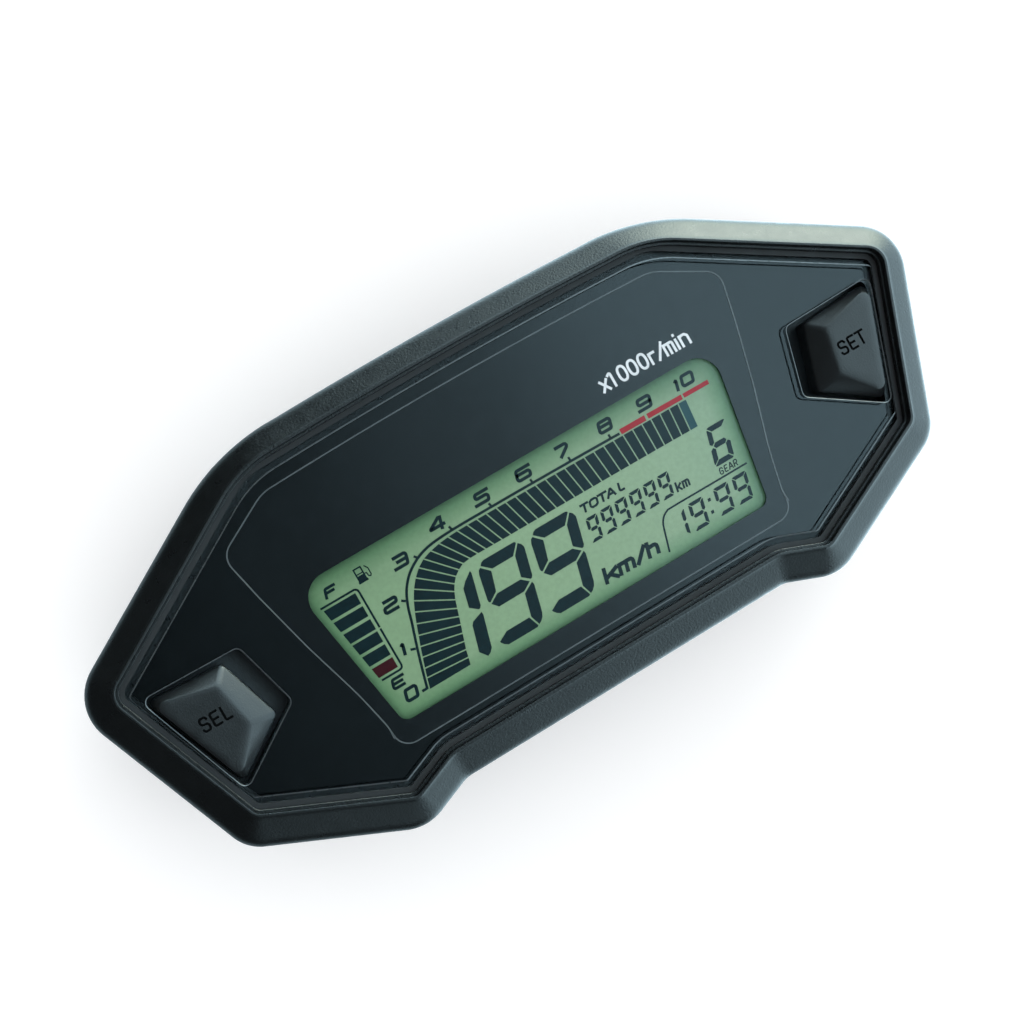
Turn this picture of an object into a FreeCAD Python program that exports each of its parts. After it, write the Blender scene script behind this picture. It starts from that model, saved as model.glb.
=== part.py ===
# Motorcycle instrument cluster, modelled as an assembly of separate pieces.
# Frame: the display faces +Z, +Y is the top edge of the display, X = 0 is the plane of symmetry.
# Z = 0 is the face of the four rear mounting bosses, and Y = 0 is the middle of their pattern.
import FreeCAD, Part
import math
import os
import Sketcher
from FreeCAD import Vector

doc = FreeCAD.newDocument("InstrumentCluster")
sheet = doc.addObject("Spreadsheet::Sheet", "Sheet")


# ---------------------------------------------------------------- measures and the sheet
class Measure:
    """A number together with the spreadsheet expression that gives it."""

    def __init__(self, value, text):
        self.value = float(value)
        self.text = text

    def __add__(self, other):
        other = measure(other)
        return Measure(self.value + other.value, "(%s + %s)" % (self.text, other.text))

    def __sub__(self, other):
        other = measure(other)
        return Measure(self.value - other.value, "(%s - %s)" % (self.text, other.text))

    def __mul__(self, other):
        other = measure(other)
        return Measure(self.value * other.value, "(%s * %s)" % (self.text, other.text))

    def __truediv__(self, other):
        other = measure(other)
        return Measure(self.value / other.value, "(%s / %s)" % (self.text, other.text))

    def __neg__(self):
        return Measure(-self.value, "(0 - %s)" % self.text)


def measure(number):
    return number if isinstance(number, Measure) else Measure(number, repr(float(number)))


class Sizes:
    """The driving dimensions: each attribute is a measure that reads the cell of that alias."""

    def __init__(self):
        self.row = 0

    def add(self, alias, value, note):
        self.row += 1
        sheet.set("A%d" % self.row, note)
        sheet.set("B%d" % self.row, repr(float(value)))
        sheet.setAlias("B%d" % self.row, alias)
        setattr(self, alias, Measure(value, "Sheet.%s" % alias))

    def add_point(self, alias, x, y, note):
        self.add(alias + "_x", x, note + ", across")
        self.add(alias + "_y", y, note + ", up")

    def get(self, alias):
        return getattr(self, alias)

    def point(self, alias):
        return self.get(alias + "_x"), self.get(alias + "_y")


size = Sizes()

# ---------------------------------------------------------------- driving dimensions (mm)
# Half outlines, corners before rounding. "lip" is the inner edge of the bezel at its highest plane,
# "outer" is the housing at its widest. A corner factor is how far a corner moves for 1 mm of
# outward offset. The hollow corner turns inward.
OUTLINE_CORNERS = [
    # corner, lip x, y, outer x, y, factor x, y, lip radius, outer radius
    ("shoulder", 40.7, 31.2, 42.8, 35.71, 0.2954, 0.9879, 9.0, 22.0),
    ("side", 77.5, 9.3, 84.2, 11.07, 1.2322, 0.4305, 3.2, 8.6),
    ("flank", 66.6, -19.5, 70.84, -24.25, 0.7914, -0.7340, 2.4, 7.4),
    ("foot", 42.2, -30.9, 42.91, -37.3, 0.0351, -1.0874, 2.6, 8.6),
    ("hollow", 33.5, -27.5, 32.94, -33.4, -0.1885, -1.0, 7.2, 5.5),
]
for name, lip_x, lip_y, outer_x, outer_y, factor_x, factor_y, lip_r, outer_r in OUTLINE_CORNERS:
    size.add_point("lip_" + name, lip_x, lip_y, "lip %s corner" % name)
    size.add_point("outer_" + name, outer_x, outer_y, "outer %s corner" % name)
    size.add_point("factor_" + name, factor_x, factor_y, "factor of the %s corner" % name)
    size.add("lip_radius_" + name, lip_r, "lip %s corner radius" % name)
    size.add("outer_radius_" + name, outer_r, "outer %s corner radius" % name)

WELL_CORNERS = [
    # corner, x, y, factor x, y
    ("inner_upper", 55.4, 5.8, -0.7705, 0.9812),
    ("outer_upper", 73.5, 6.25, 1.4321, 1.0359),
    ("outer_lower", 65.8, -15.3, 0.516, -1.5277),
    ("inner_lower", 52.1, -6.4, -1.1555, -0.4419),
]
for name, x, y, factor_x, factor_y in WELL_CORNERS:
    size.add_point("well_" + name, x, y, "button well corner " + name)
    size.add_point("well_factor_" + name, factor_x, factor_y, "well corner factor " + name)

BUTTON_CORNERS = [
    # corner, base x, y, face x, y
    ("outer_upper", 72.9, 5.55, 72.4, 4.95),
    ("inner_upper", 58.9, 4.75, 61.2, 2.1),
    ("inner_lower", 55.1, -7.1, 59.4, -6.1),
    ("outer_lower", 65.7, -14.15, 65.6, -13.3),
]
for name, base_x, base_y, face_x, face_y in BUTTON_CORNERS:
    size.add_point("button_base_" + name, base_x, base_y, "button base corner " + name)
    size.add_point("button_face_" + name, face_x, face_y, "button face corner " + name)

PANELS = [
    # tapered panel, top edge, bottom edge, half width at the top, half width at the bottom
    ("window", 9.4, -19.6, 42.3, 37.5),
    ("front_glass", 11.9, -21.9, 44.9, 39.3),
    ("rear_glass", 9.8, -19.9, 44.5, 39.6),
    ("holder_opening", 9.0, -19.0, 42.0, 37.0),
]
for name, top, bottom, top_half, bottom_half in PANELS:
    size.add(name + "_top", top, name + " top edge")
    size.add(name + "_bottom", bottom, name + " bottom edge")
    size.add(name + "_top_half", top_half, name + " half width at the top")
    size.add(name + "_bottom_half", bottom_half, name + " half width at the bottom")

for name, x, y, note in [
    ("screw_top", 30.0, 31.0, "housing screw by the top edge"),
    ("screw_side", 75.0, 9.2, "housing screw by the side corner"),
    ("screw_flank", 59.3, -22.4, "housing screw by the flank corner"),
    ("screw_bottom", 20.0, -27.1, "housing screw by the bottom edge"),
    ("ear_screw_upper", 50.5, 12.0, "board screw in the upper holder ear"),
    ("ear_screw_lower", 47.0, -15.5, "board screw in the lower holder ear"),
    ("flat_screw", 62.0, 7.6, "board screw straight on the board"),
    ("stem", 63.0, -2.4, "button stem axis"),
    ("boss", 42.0, 16.0, "mounting boss, half spacing"),
    ("switch_leg", 3.7, 2.2, "tact switch leg, distance from the switch axis"),
]:
    size.add_point(name, x, y, note)

for name, value, note in [
    # outlines
    ("top_radius", 920.0, "radius of the crowned top edge"),
    ("radius_min", 0.7, "smallest moulded corner radius"),
    # offsets from the outer outline
    ("wall_front", -2.5, "bezel wall inside"),
    ("cover_step", -0.3, "rear cover outside"),
    ("wall_rear", -2.7, "rear cover wall inside"),
    ("groove_out", -1.0, "housing seal groove, outside"),
    ("groove_in", -2.1, "housing seal groove, inside"),
    ("groove_gap", 0.1, "gap between housing seal and groove side"),
    # offsets from the lip outline
    ("off_step", -0.5, "bezel wall beside the lens"),
    ("off_lens", -1.5, "lens edge"),
    ("off_seat", -2.5, "inner edge of the lens seat"),
    ("off_mask", -2.6, "dial mask edge"),
    ("off_ledge", -5.0, "inner edge of the mask ledge"),
    ("off_board", -5.2, "circuit board edge"),
    # gaps and overlaps
    ("fit_gap", 0.02, "assembly gap between touching pieces"),
    ("overlap", 0.4, "depth by which added cover features sink into it"),
    ("screw_overlap", 0.2, "overlap of shank and head within a screw"),
    ("cut_over", 0.5, "extra depth of cuts that run out behind a wall"),
    ("join_over", 0.1, "small overshoot of a pad or cut"),
    # bezel, lens and mask
    ("z_lip", 40.0, "bezel lip plane"),
    ("z_step", 38.7, "shallow step below the lip"),
    ("z_lens_top", 38.2, "lens face"),
    ("lens_slope", 0.45, "slope round the lens face"),
    ("z_seat", 36.2, "lens seat"),
    ("z_gasket", 37.5, "top of the lens gasket"),
    ("z_mask_top", 36.1, "dial mask face"),
    ("z_ledge", 35.4, "mask ledge"),
    ("z_under", 34.2, "underside of the mask ledge"),
    ("z_split", 22.0, "parting plane between bezel and rear cover"),
    ("bevel", 4.0, "slope of the bezel, width and drop"),
    ("bevel_round", 2.6, "rounding at the foot of the slope"),
    ("lip_round", 0.35, "rounding at the head of the slope"),
    ("window_radius_top", 4.5, "window radius, top corners"),
    ("window_radius_bottom", 2.0, "window radius, bottom corners"),
    # LCD stack
    ("polariser_inset", 1.0, "front polariser inside the glass edge"),
    ("polariser_inset_low", 0.9, "the same, at the bottom half width"),
    ("guide_inset", 2.4, "light guide shorter than the rear glass, each side"),
    ("z_polariser", 35.2, "front polariser face"),
    ("z_front_glass", 35.0, "front glass face"),
    ("z_rear_glass", 33.9, "rear glass face"),
    ("z_rear_polariser", 32.8, "rear polariser face"),
    ("polariser_gap", 0.1, "gap behind the rear polariser"),
    ("z_diffuser", 32.5, "diffuser face"),
    ("z_guide", 32.1, "light guide face"),
    ("z_reflector", 29.0, "reflector face"),
    ("z_holder_floor", 28.7, "LCD holder floor face"),
    ("holder_floor", 1.3, "LCD holder floor thickness"),
    ("holder_wall", 1.2, "LCD holder wall"),
    ("holder_gap", 0.2, "gap between glass and holder wall"),
    ("z_holder", 34.0, "LCD holder rim"),
    ("ear_thick", 1.6, "LCD holder ear thickness"),
    ("ear_half_high", 3.2, "LCD holder ear half height"),
    ("upper_ear_x", 47.5, "upper ear centre, across"),
    ("upper_ear_half", 7.0, "upper ear half length"),
    ("lower_ear_x", 44.5, "lower ear centre, across"),
    ("lower_ear_half", 6.0, "lower ear half length"),
    ("zebra_width", 1.4, "zebra strip width"),
    ("zebra_half", 37.0, "zebra strip half length"),
    ("zebra_upper", 10.8, "upper zebra strip centre line"),
    ("zebra_lower", -20.9, "lower zebra strip centre line"),
    ("zebra_end_gap", 0.2, "slot clearance at the strip ends"),
    ("zebra_side_gap", 0.15, "slot clearance beside the strip"),
    ("guide_taper", 0.165, "sideways run of the light guide end for 1 mm down"),
    ("backlight_out", 1.17, "backlight LED centre outside the light guide end"),
    ("backlight_half_x", 0.75, "backlight LED half width"),
    ("backlight_half_y", 1.9, "backlight LED half height"),
    ("backlight_drop", 0.6, "backlight LED top below the light guide face"),
    # indicator light box
    ("box_half", 36.0, "light box half width"),
    ("box_low", 13.6, "light box lower edge"),
    ("box_high", 25.4, "light box upper edge"),
    ("z_box", 35.1, "light box face"),
    ("cell_pitch", 11.6, "light box cell pitch"),
    ("cell_half_x", 4.6, "cell half width"),
    ("cell_half_y", 4.4, "cell half height"),
    ("indicator_half_x", 1.6, "indicator LED half width"),
    ("indicator_half_y", 1.4, "indicator LED half height"),
    ("indicator_thick", 1.9, "top of the indicator LED above the board"),
    # circuit board and its screws
    ("z_board", 24.2, "front face of the board"),
    ("board_thick", 1.6, "board thickness"),
    ("post_radius", 3.0, "board post radius"),
    ("post_hole", 7.0, "depth of the hole in a board post"),
    ("board_shank", 1.1, "board screw shank radius"),
    ("board_shank_gap", 0.15, "clearance round a board screw"),
    ("board_shank_depth", 6.0, "board screw length behind the board"),
    ("board_head", 2.3, "board screw head radius"),
    ("board_head_thick", 1.5, "board screw head"),
    # button wells, buttons and switches
    ("well_wall", 1.2, "well wall"),
    ("well_clear", 1.35, "mask opening outside the well"),
    ("well_radius", 1.2, "well corner radius"),
    ("z_well_floor", 31.2, "well floor"),
    ("z_well_under", 30.0, "underside of the well floor"),
    ("button_radius", 1.1, "button corner radius"),
    ("button_round", 0.5, "rounding of the button face edge"),
    ("z_button_bottom", 33.0, "button skirt underside"),
    ("z_button_edge", 37.0, "foot of the button slopes"),
    ("z_button_top", 39.0, "button face"),
    ("stem_radius", 3.0, "button stem radius"),
    ("stem_gap", 0.06, "running clearance of stem and plunger"),
    ("z_stem", 28.62, "button stem end"),
    ("clip_radius", 4.6, "retaining clip radius"),
    ("clip_thick", 0.6, "retaining clip thickness"),
    ("seal_radius", 5.2, "button seal radius"),
    ("seal_gap", 0.25, "clearance between button seal and stem"),
    ("switch_half", 3.1, "tact switch half width"),
    ("z_switch", 27.4, "tact switch body top"),
    ("z_switch_floor", 24.9, "floor of the plunger bore"),
    ("leg_half_x", 0.9, "tact switch leg half length"),
    ("leg_half_y", 0.35, "tact switch leg half width"),
    ("leg_top", 0.5, "top of the tact switch legs above the board"),
    ("plunger_radius", 1.75, "plunger radius"),
    ("z_plunger", 28.6, "plunger top"),
    ("z_plunger_low", 25.75, "plunger bottom"),
    # rear cover, bosses and housing screws
    ("z_floor", 12.4, "rear cover floor, inside"),
    ("z_back", 10.0, "rear cover outside"),
    ("z_rim", 21.9, "rear cover rim"),
    ("z_seal", 21.0, "housing seal groove floor"),
    ("back_round", 2.4, "rear cover edge rounding"),
    ("boss_radius", 7.0, "mounting boss radius"),
    ("boss_round", 0.8, "mounting boss edge rounding"),
    ("z_rib", 6.5, "rear edge of the ribs"),
    ("rib_half", 1.0, "rib half thickness"),
    ("rib_short", 5.0, "rib end short of the boss axis"),
    ("insert_radius", 3.2, "brass insert radius"),
    ("insert_bore", 2.1, "brass insert bore radius, M5"),
    ("insert_length", 9.0, "brass insert length"),
    ("screw_boss", 3.4, "screw boss radius"),
    ("pilot_radius", 1.25, "screw pilot hole radius"),
    ("z_pilot", 33.2, "end of the pilot hole"),
    ("shank_radius", 1.2, "housing screw shank radius"),
    ("shank_gap", 0.3, "clearance round the shank"),
    ("head_radius", 2.7, "housing screw head radius"),
    ("head_gap", 0.25, "clearance round the head"),
    ("head_thick", 2.0, "housing screw head"),
    ("z_head", 10.6, "outside of the housing screw heads"),
    ("z_shank", 31.5, "housing screw tip"),
    ("cross_half_width", 0.35, "cross recess, half width of an arm"),
    ("cross_half_length", 1.45, "cross recess, arm length from the axis"),
    ("cross_depth", 1.1, "cross recess depth"),
    # connector
    ("plug_y", -2.0, "connector centre, up"),
    ("plug_half", 18.0, "connector half width"),
    ("plug_high", 4.6, "connector half height"),
    ("plug_wall", 1.2, "connector wall"),
    ("plug_radius", 1.4, "connector corner radius"),
    ("cavity_radius", 0.6, "connector cavity corner radius"),
    ("plug_seal", 1.2, "connector seal width"),
    ("seal_back", 0.2, "connector seal rear face inside the cover back"),
    ("seal_front", 0.6, "connector seal front face above the cover floor"),
    ("z_plug", 4.0, "connector mouth"),
    ("z_cavity", 13.5, "connector cavity floor"),
    ("shroud_wall", 1.8, "cover shroud wall"),
    ("z_shroud", 3.2, "cover shroud rim"),
    ("pin_half", 0.4, "pin half width"),
    ("pin_hole_gap", 0.1, "clearance round a pin in the board"),
    ("pin_pitch", 4.0, "pin pitch"),
    ("pin_row", 2.0, "pin row half spacing"),
    ("z_pin_low", 6.0, "pin tip"),
    ("z_pin_top", 25.4, "pin end above the board"),
    # vent plug
    ("vent_y", 21.0, "vent plug centre, up"),
    ("vent_radius", 2.5, "vent plug stem radius"),
    ("vent_cap", 4.6, "vent plug cap radius"),
    ("vent_cap_thick", 1.6, "vent plug cap rear face behind the cover back"),
    ("vent_round", 0.6, "vent plug cap edge rounding"),
    ("vent_overlap", 0.2, "overlap of vent plug stem and cap plane"),
    ("vent_rise", 0.8, "vent plug stem end above the cover floor"),
]:
    size.add(name, value, note)
doc.recompute()


# ---------------------------------------------------------------- sketch helpers
START, END, CENTRE = 1, 2, 3  # point positions on a sketch element
X_AXIS, Y_AXIS = -1, -2


def constrain(sketch, value, *constraint):
    """Adds a dimension, and ties it to the sheet where its value comes from there."""
    index = sketch.addConstraint(Sketcher.Constraint(*constraint, value.value))
    if "Sheet." in value.text:
        sketch.setExpression("Constraints[%d]" % index, value.text)


def pin_point(sketch, geometry, position, x, y):
    """Fixes a point from the sketch origin, across and up."""
    for kind, value, zero_axis in (("DistanceX", x, Y_AXIS), ("DistanceY", y, X_AXIS)):
        value = measure(value)
        if abs(value.value) < 1e-9:
            sketch.addConstraint(
                Sketcher.Constraint("PointOnObject", geometry, position, zero_axis)
            )
        else:
            constrain(sketch, value, kind, X_AXIS, START, geometry, position)


def angle_about(centre, point):
    return math.atan2(point.y - centre.y, point.x - centre.x)


def add_arc(sketch, centre, radius, start, end):
    circle_curve = Part.Circle(centre, Vector(0, 0, 1), radius)
    sketch.addGeometry(Part.ArcOfCircle(circle_curve, start, end), False)


def add_loop(sketch, points, radii, crown=None):
    """A closed loop of straight edges through pinned corners, each corner rounded to its radius
    or left sharp where that is None. With crown set, the closing edge is an arc of that radius."""
    count = len(points)
    corners = [Vector(measure(x).value, measure(y).value, 0) for x, y in points]
    crown_centre = None
    if crown is not None:
        rise = (crown.value ** 2 - corners[0].x ** 2) ** 0.5
        crown_centre = Vector(0, corners[0].y - rise, 0)

    def direction(start, end):
        """Unit vector along the edge, leaving corner start towards corner end."""
        chord = corners[end] - corners[start]
        along = chord
        if crown is not None and {start, end} == {0, count - 1}:
            radial = corners[start] - crown_centre
            along = Vector(-radial.y, radial.x, 0)
            if along.x * chord.x < 0:
                along = along * -1
        return along / along.Length

    # where each edge ends before a corner and starts after it, and the centre of the rounding
    arrivals, departures, centres = [], [], []
    for k, corner in enumerate(corners):
        if radii[k] is None:
            arrivals.append(corner)
            departures.append(corner)
            centres.append(None)
            continue
        back = direction(k, (k - 1) % count)
        ahead = direction(k, (k + 1) % count)
        half_angle = math.acos(back.dot(ahead)) / 2
        reach = radii[k].value / math.tan(half_angle)
        bisector = back + ahead
        arrivals.append(corner + back * reach)
        departures.append(corner + ahead * reach)
        to_centre = radii[k].value / math.sin(half_angle)
        centres.append(corner + bisector / bisector.Length * to_centre)

    # edges, kept as element, first end, second end
    first = len(sketch.Geometry)
    edges = []
    for k in range(count):
        begin, finish = departures[k], arrivals[(k + 1) % count]
        if crown is not None and k == count - 1:
            start = angle_about(crown_centre, finish)
            end = angle_about(crown_centre, begin)
            add_arc(sketch, crown_centre, crown.value, start, end)
            edges.append((first + k, END, START))
        else:
            sketch.addGeometry(Part.LineSegment(begin, finish), False)
            edges.append((first + k, START, END))

    # corner arcs, each with a construction point at the sharp corner
    arcs = []
    for k in range(count):
        if radii[k] is None:
            arcs.append(None)
            continue
        start = angle_about(centres[k], arrivals[k])
        end = angle_about(centres[k], departures[k])
        sweep = (end - start) % (2 * math.pi)
        geometry = len(sketch.Geometry)
        if sweep < math.pi:
            add_arc(sketch, centres[k], radii[k].value, start, start + sweep)
            arcs.append((geometry, START, END))
        else:
            add_arc(sketch, centres[k], radii[k].value, end, end + (2 * math.pi - sweep))
            arcs.append((geometry, END, START))
        sketch.addGeometry(Part.Point(corners[k]), True)
        pin_point(sketch, geometry + 1, START, *points[k])

    for k in range(count):
        before, _, before_end = edges[k - 1]
        after, after_start, _ = edges[k]
        if arcs[k] is None:
            joint = ("Coincident", before, before_end, after, after_start)
            sketch.addConstraint(Sketcher.Constraint(*joint))
            pin_point(sketch, after, after_start, *points[k])
            continue
        arc, arc_in, arc_out = arcs[k]
        for joint in (
            ("PointOnObject", arc + 1, START, before),
            ("PointOnObject", arc + 1, START, after),
            ("Tangent", before, before_end, arc, arc_in),
            ("Tangent", arc, arc_out, after, after_start),
        ):
            sketch.addConstraint(Sketcher.Constraint(*joint))
        constrain(sketch, radii[k], "Radius", arc)
    if crown is not None:
        constrain(sketch, crown, "Radius", edges[-1][0])


# ---------------------------------------------------------------- shapes, drawn when given a sketch
def polygon(points, radii=None):
    """Corners may be sharp, share one radius, or have a list of radii."""
    if radii is None:
        radii = [None] * len(points)
    elif isinstance(radii, list):
        radii = [measure(radius) for radius in radii]
    else:
        radii = [measure(radii)] * len(points)
    return lambda sketch: add_loop(sketch, points, radii)


def rectangle(x, y, half_x, half_y, radius=None):
    x, y, half_x, half_y = measure(x), measure(y), measure(half_x), measure(half_y)
    left, right = x - half_x, x + half_x
    low, high = y - half_y, y + half_y
    return polygon([(left, low), (right, low), (right, high), (left, high)], radius)


def circle(x, y, radius):
    radius = measure(radius)

    def draw(sketch):
        geometry = len(sketch.Geometry)
        centre = Vector(measure(x).value, measure(y).value, 0)
        sketch.addGeometry(Part.Circle(centre, Vector(0, 0, 1), radius.value), False)
        pin_point(sketch, geometry, CENTRE, x, y)
        constrain(sketch, radius, "Radius", geometry)

    return draw


def circles(places, radius):
    return [circle(x, y, radius) for x, y in places]


def outline(offset, kind="lip"):
    """The lip or outer outline at an offset: nine straight edges and the crowned top edge."""
    offset = measure(offset)
    right, radii = [], []
    for name, *_ in OUTLINE_CORNERS:
        x, y = size.point("%s_%s" % (kind, name))
        factor_x, factor_y = size.point("factor_" + name)
        right.append((x + offset * factor_x, y + offset * factor_y))
        radius = size.get("%s_radius_%s" % (kind, name))
        radius = radius - offset if name == "hollow" else radius + offset
        radii.append(radius if radius.value >= size.radius_min.value else size.radius_min)
    points = right + [(-x, y) for x, y in reversed(right)]
    crown = size.top_radius + offset
    return lambda sketch: add_loop(sketch, points, radii + radii[::-1], crown)


def outer(offset):
    return outline(offset, "outer")


def trapezoid(top, bottom, top_half, bottom_half):
    return [(-bottom_half, bottom), (bottom_half, bottom), (top_half, top), (-top_half, top)]


def panel(name, grow_up=0.0, grow_across=0.0):
    """Corners of a tapered panel, grown at top and bottom and at the sides."""
    return trapezoid(
        size.get(name + "_top") + grow_up,
        size.get(name + "_bottom") - grow_up,
        size.get(name + "_top_half") + grow_across,
        size.get(name + "_bottom_half") + grow_across,
    )


def wells(offset=0.0):
    """Both button wells at an outward offset."""
    shapes = []
    for side in (1, -1):
        points = []
        for name, *_ in WELL_CORNERS:
            x, y = size.point("well_" + name)
            factor_x, factor_y = size.point("well_factor_" + name)
            offset = measure(offset)
            points.append(((x + offset * factor_x) * side, y + offset * factor_y))
        shapes.append(polygon(points, size.well_radius + offset))
    return shapes


def plug_rectangle(grow, radius):
    """Rectangle round the connector centre, grown from the connector's outside."""
    return rectangle(0, size.plug_y, size.plug_half + grow, size.plug_high + grow, radius)


def pin_squares(clearance=0.0):
    half = size.pin_half + clearance
    return [rectangle(x, y, half, half) for x, y in PINS]


# ---------------------------------------------------------------- feature helpers
feature_count = 0


def numbered(base):
    global feature_count
    feature_count += 1
    return "%s%03d" % (base, feature_count)


def new_body(label):
    body = doc.addObject("PartDesign::Body", label)
    body.Label = label
    body.AllowCompound = True
    return body


def new_sketch(body, z, shapes):
    sketch = body.newObject("Sketcher::SketchObject", numbered("Sketch"))
    plane = next(f for f in body.Origin.OriginFeatures if f.Role == "XY_Plane")
    sketch.AttachmentSupport = [(plane, "")]
    sketch.MapMode = "FlatFace"
    sketch.setExpression("AttachmentOffset.Base.z", measure(z).text)
    for draw in shapes:
        draw(sketch)
    return sketch


def pad(body, z_low, z_high, shapes):
    """Adds the shapes as a prism from z_low up to z_high."""
    sketch = new_sketch(body, z_low, shapes)
    feature = body.newObject("PartDesign::Pad", numbered("Pad"))
    feature.Profile = sketch
    feature.setExpression("Length", (measure(z_high) - z_low).text)
    doc.recompute()


def pocket(body, z_high, z_low, shapes):
    """Cuts the shapes from z_high down to z_low, and makes sure that material came away."""
    before = body.Shape.Volume
    sketch = new_sketch(body, z_high, shapes)
    feature = body.newObject("PartDesign::Pocket", numbered("Pocket"))
    feature.Profile = sketch
    feature.setExpression("Length", (measure(z_high) - z_low).text)
    doc.recompute()
    if not body.Shape.Volume < before - 1e-6:
        raise RuntimeError("%s: %s cut nothing" % (body.Label, feature.Name))


def prism(label, z_low, z_high, shapes):
    """A new body that starts as one prism."""
    body = new_body(label)
    pad(body, z_low, z_high, shapes)
    return body


def lies_at(shape, z):
    box = shape.BoundBox
    return abs(box.ZMin - z.value) < 1e-4 and abs(box.ZMax - z.value) < 1e-4


def edges_at(body, z):
    """Names of the edges that lie in the plane at height z."""
    edges = enumerate(body.Shape.Edges, 1)
    return ["Edge%d" % number for number, edge in edges if lies_at(edge, measure(z))]


def fillet_at(body, z, radius):
    """Rounds all edges in the plane at height z."""
    names = edges_at(body, z)
    if not names:
        raise RuntimeError("%s: no edges for a fillet" % body.Label)
    tip = body.Tip
    feature = body.newObject("PartDesign::Fillet", numbered("Fillet"))
    feature.Base = (tip, names)
    feature.setExpression("Radius", radius.text)
    doc.recompute()


def chamfer(body, feature_name, names, width):
    tip = body.Tip
    feature = body.newObject("PartDesign::Chamfer", feature_name)
    feature.Base = (tip, names)
    feature.setExpression("Size", width.text)
    doc.recompute()


# ---------------------------------------------------------------- shared places
def mirrored(*names):
    """Named points, each followed by its mirror image across X = 0."""
    places = []
    for name in names:
        x, y = size.point(name)
        places += [(x, y), (-x, y)]
    return places


GAP = size.fit_gap
SCREWS = mirrored("screw_top", "screw_side", "screw_flank", "screw_bottom")
EAR_SCREWS = mirrored("ear_screw_upper", "ear_screw_lower")
FLAT_SCREWS = mirrored("flat_screw")
BOARD_SCREWS = EAR_SCREWS + FLAT_SCREWS
MOUNTS = [(size.boss_x * across, size.boss_y * up) for across in (1, -1) for up in (1, -1)]
PINS = [
    (size.pin_pitch * (k - 3.5), size.plug_y + size.pin_row * row)
    for row in (1, -1)
    for k in range(8)
]
CELLS_X = [size.cell_pitch * (k - 2.5) for k in range(6)]
BOX_Y = (size.box_low + size.box_high) / 2
BOARD_BACK = size.z_board - size.board_thick
BOARD_FRONT_SEAT = size.z_board + GAP  # pieces that stand on the front of the board
BOARD_REAR_SEAT = BOARD_BACK - GAP  # pieces that sit on the rear of the board
PLUG_SEAL_RADIUS = size.plug_radius + size.plug_seal


# ---------------------------------------------------------------- bezel, lens and mask
def build_front_bezel():
    bezel = prism("front_bezel", size.z_split, size.z_lip, [outer(0.0)])
    chamfer(bezel, "BezelSlope", edges_at(bezel, size.z_lip), size.bevel)
    fillet_at(bezel, size.z_lip - size.bevel, size.bevel_round)
    fillet_at(bezel, size.z_lip, size.lip_round)
    # stepped opening for lens and mask, then the hollow behind it
    pocket(bezel, size.z_lip, size.z_step, [outline(0.0)])
    pocket(bezel, size.z_step, size.z_seat, [outline(size.off_step)])
    pocket(bezel, size.z_seat, size.z_ledge, [outline(size.off_seat)])
    pocket(bezel, size.z_ledge, size.z_under, [outline(size.off_ledge)])
    pocket(bezel, size.z_under, size.z_split, [outer(size.wall_front)])
    # screw bosses and button wells
    pad(bezel, size.z_split, size.z_under + size.join_over, circles(SCREWS, size.screw_boss))
    pad(bezel, size.z_well_under, size.z_seat, wells(size.well_wall))
    pocket(bezel, size.z_seat, size.z_well_floor, wells())
    stem_holes = circles(mirrored("stem"), size.stem_radius + size.stem_gap)
    pocket(bezel, size.z_well_floor, size.z_well_under - size.cut_over, stem_holes)
    pocket(bezel, size.z_pilot, size.z_split, circles(SCREWS, size.pilot_radius))


def build_lens():
    lens = prism("lens", size.z_seat + GAP, size.z_lens_top, [outline(size.off_lens)])
    pocket(lens, size.z_lens_top, size.z_seat, wells())
    # only the outer rim of the lens face is sloped, not the button openings
    face = next(f for f in lens.Shape.Faces if lies_at(f, size.z_lens_top))
    rim = [
        "Edge%d" % number
        for number, edge in enumerate(lens.Shape.Edges, 1)
        if any(edge.isSame(other) for other in face.OuterWire.Edges)
    ]
    chamfer(lens, "LensSlope", rim, size.lens_slope)


def build_lens_gasket():
    ring = [outline(size.off_step - GAP), outline(size.off_lens + GAP)]
    prism("lens_gasket", size.z_seat + GAP, size.z_gasket, ring)


def build_dial_mask():
    mask = prism("dial_mask", size.z_ledge + GAP, size.z_mask_top, [outline(size.off_mask)])
    pocket(mask, size.z_mask_top, size.z_ledge, wells(size.well_clear))
    radii = [size.window_radius_bottom] * 2 + [size.window_radius_top] * 2
    pocket(mask, size.z_mask_top, size.z_ledge, [polygon(panel("window"), radii)])


# ---------------------------------------------------------------- LCD stack
def build_lcd_layers():
    polariser = trapezoid(
        size.front_glass_top - size.polariser_inset,
        size.front_glass_bottom + size.polariser_inset,
        size.front_glass_top_half - size.polariser_inset,
        size.front_glass_bottom_half - size.polariser_inset_low,
    )
    front = panel("front_glass")
    rear = panel("rear_glass")
    guide = panel("rear_glass", grow_across=-size.guide_inset)
    for label, behind, gap, face, points in [
        ("lcd_front_polarizer", size.z_front_glass, GAP, size.z_polariser, polariser),
        ("lcd_front_glass", size.z_rear_glass, GAP, size.z_front_glass, front),
        ("lcd_rear_glass", size.z_rear_polariser, GAP, size.z_rear_glass, rear),
        ("lcd_rear_polarizer", size.z_diffuser, size.polariser_gap, size.z_rear_polariser, rear),
        ("diffuser_film", size.z_guide, GAP, size.z_diffuser, guide),
        ("light_guide", size.z_reflector, GAP, size.z_guide, guide),
        ("reflector_film", size.z_holder_floor, GAP, size.z_reflector, guide),
    ]:
        prism(label, behind + gap, face, [polygon(points)])


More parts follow.
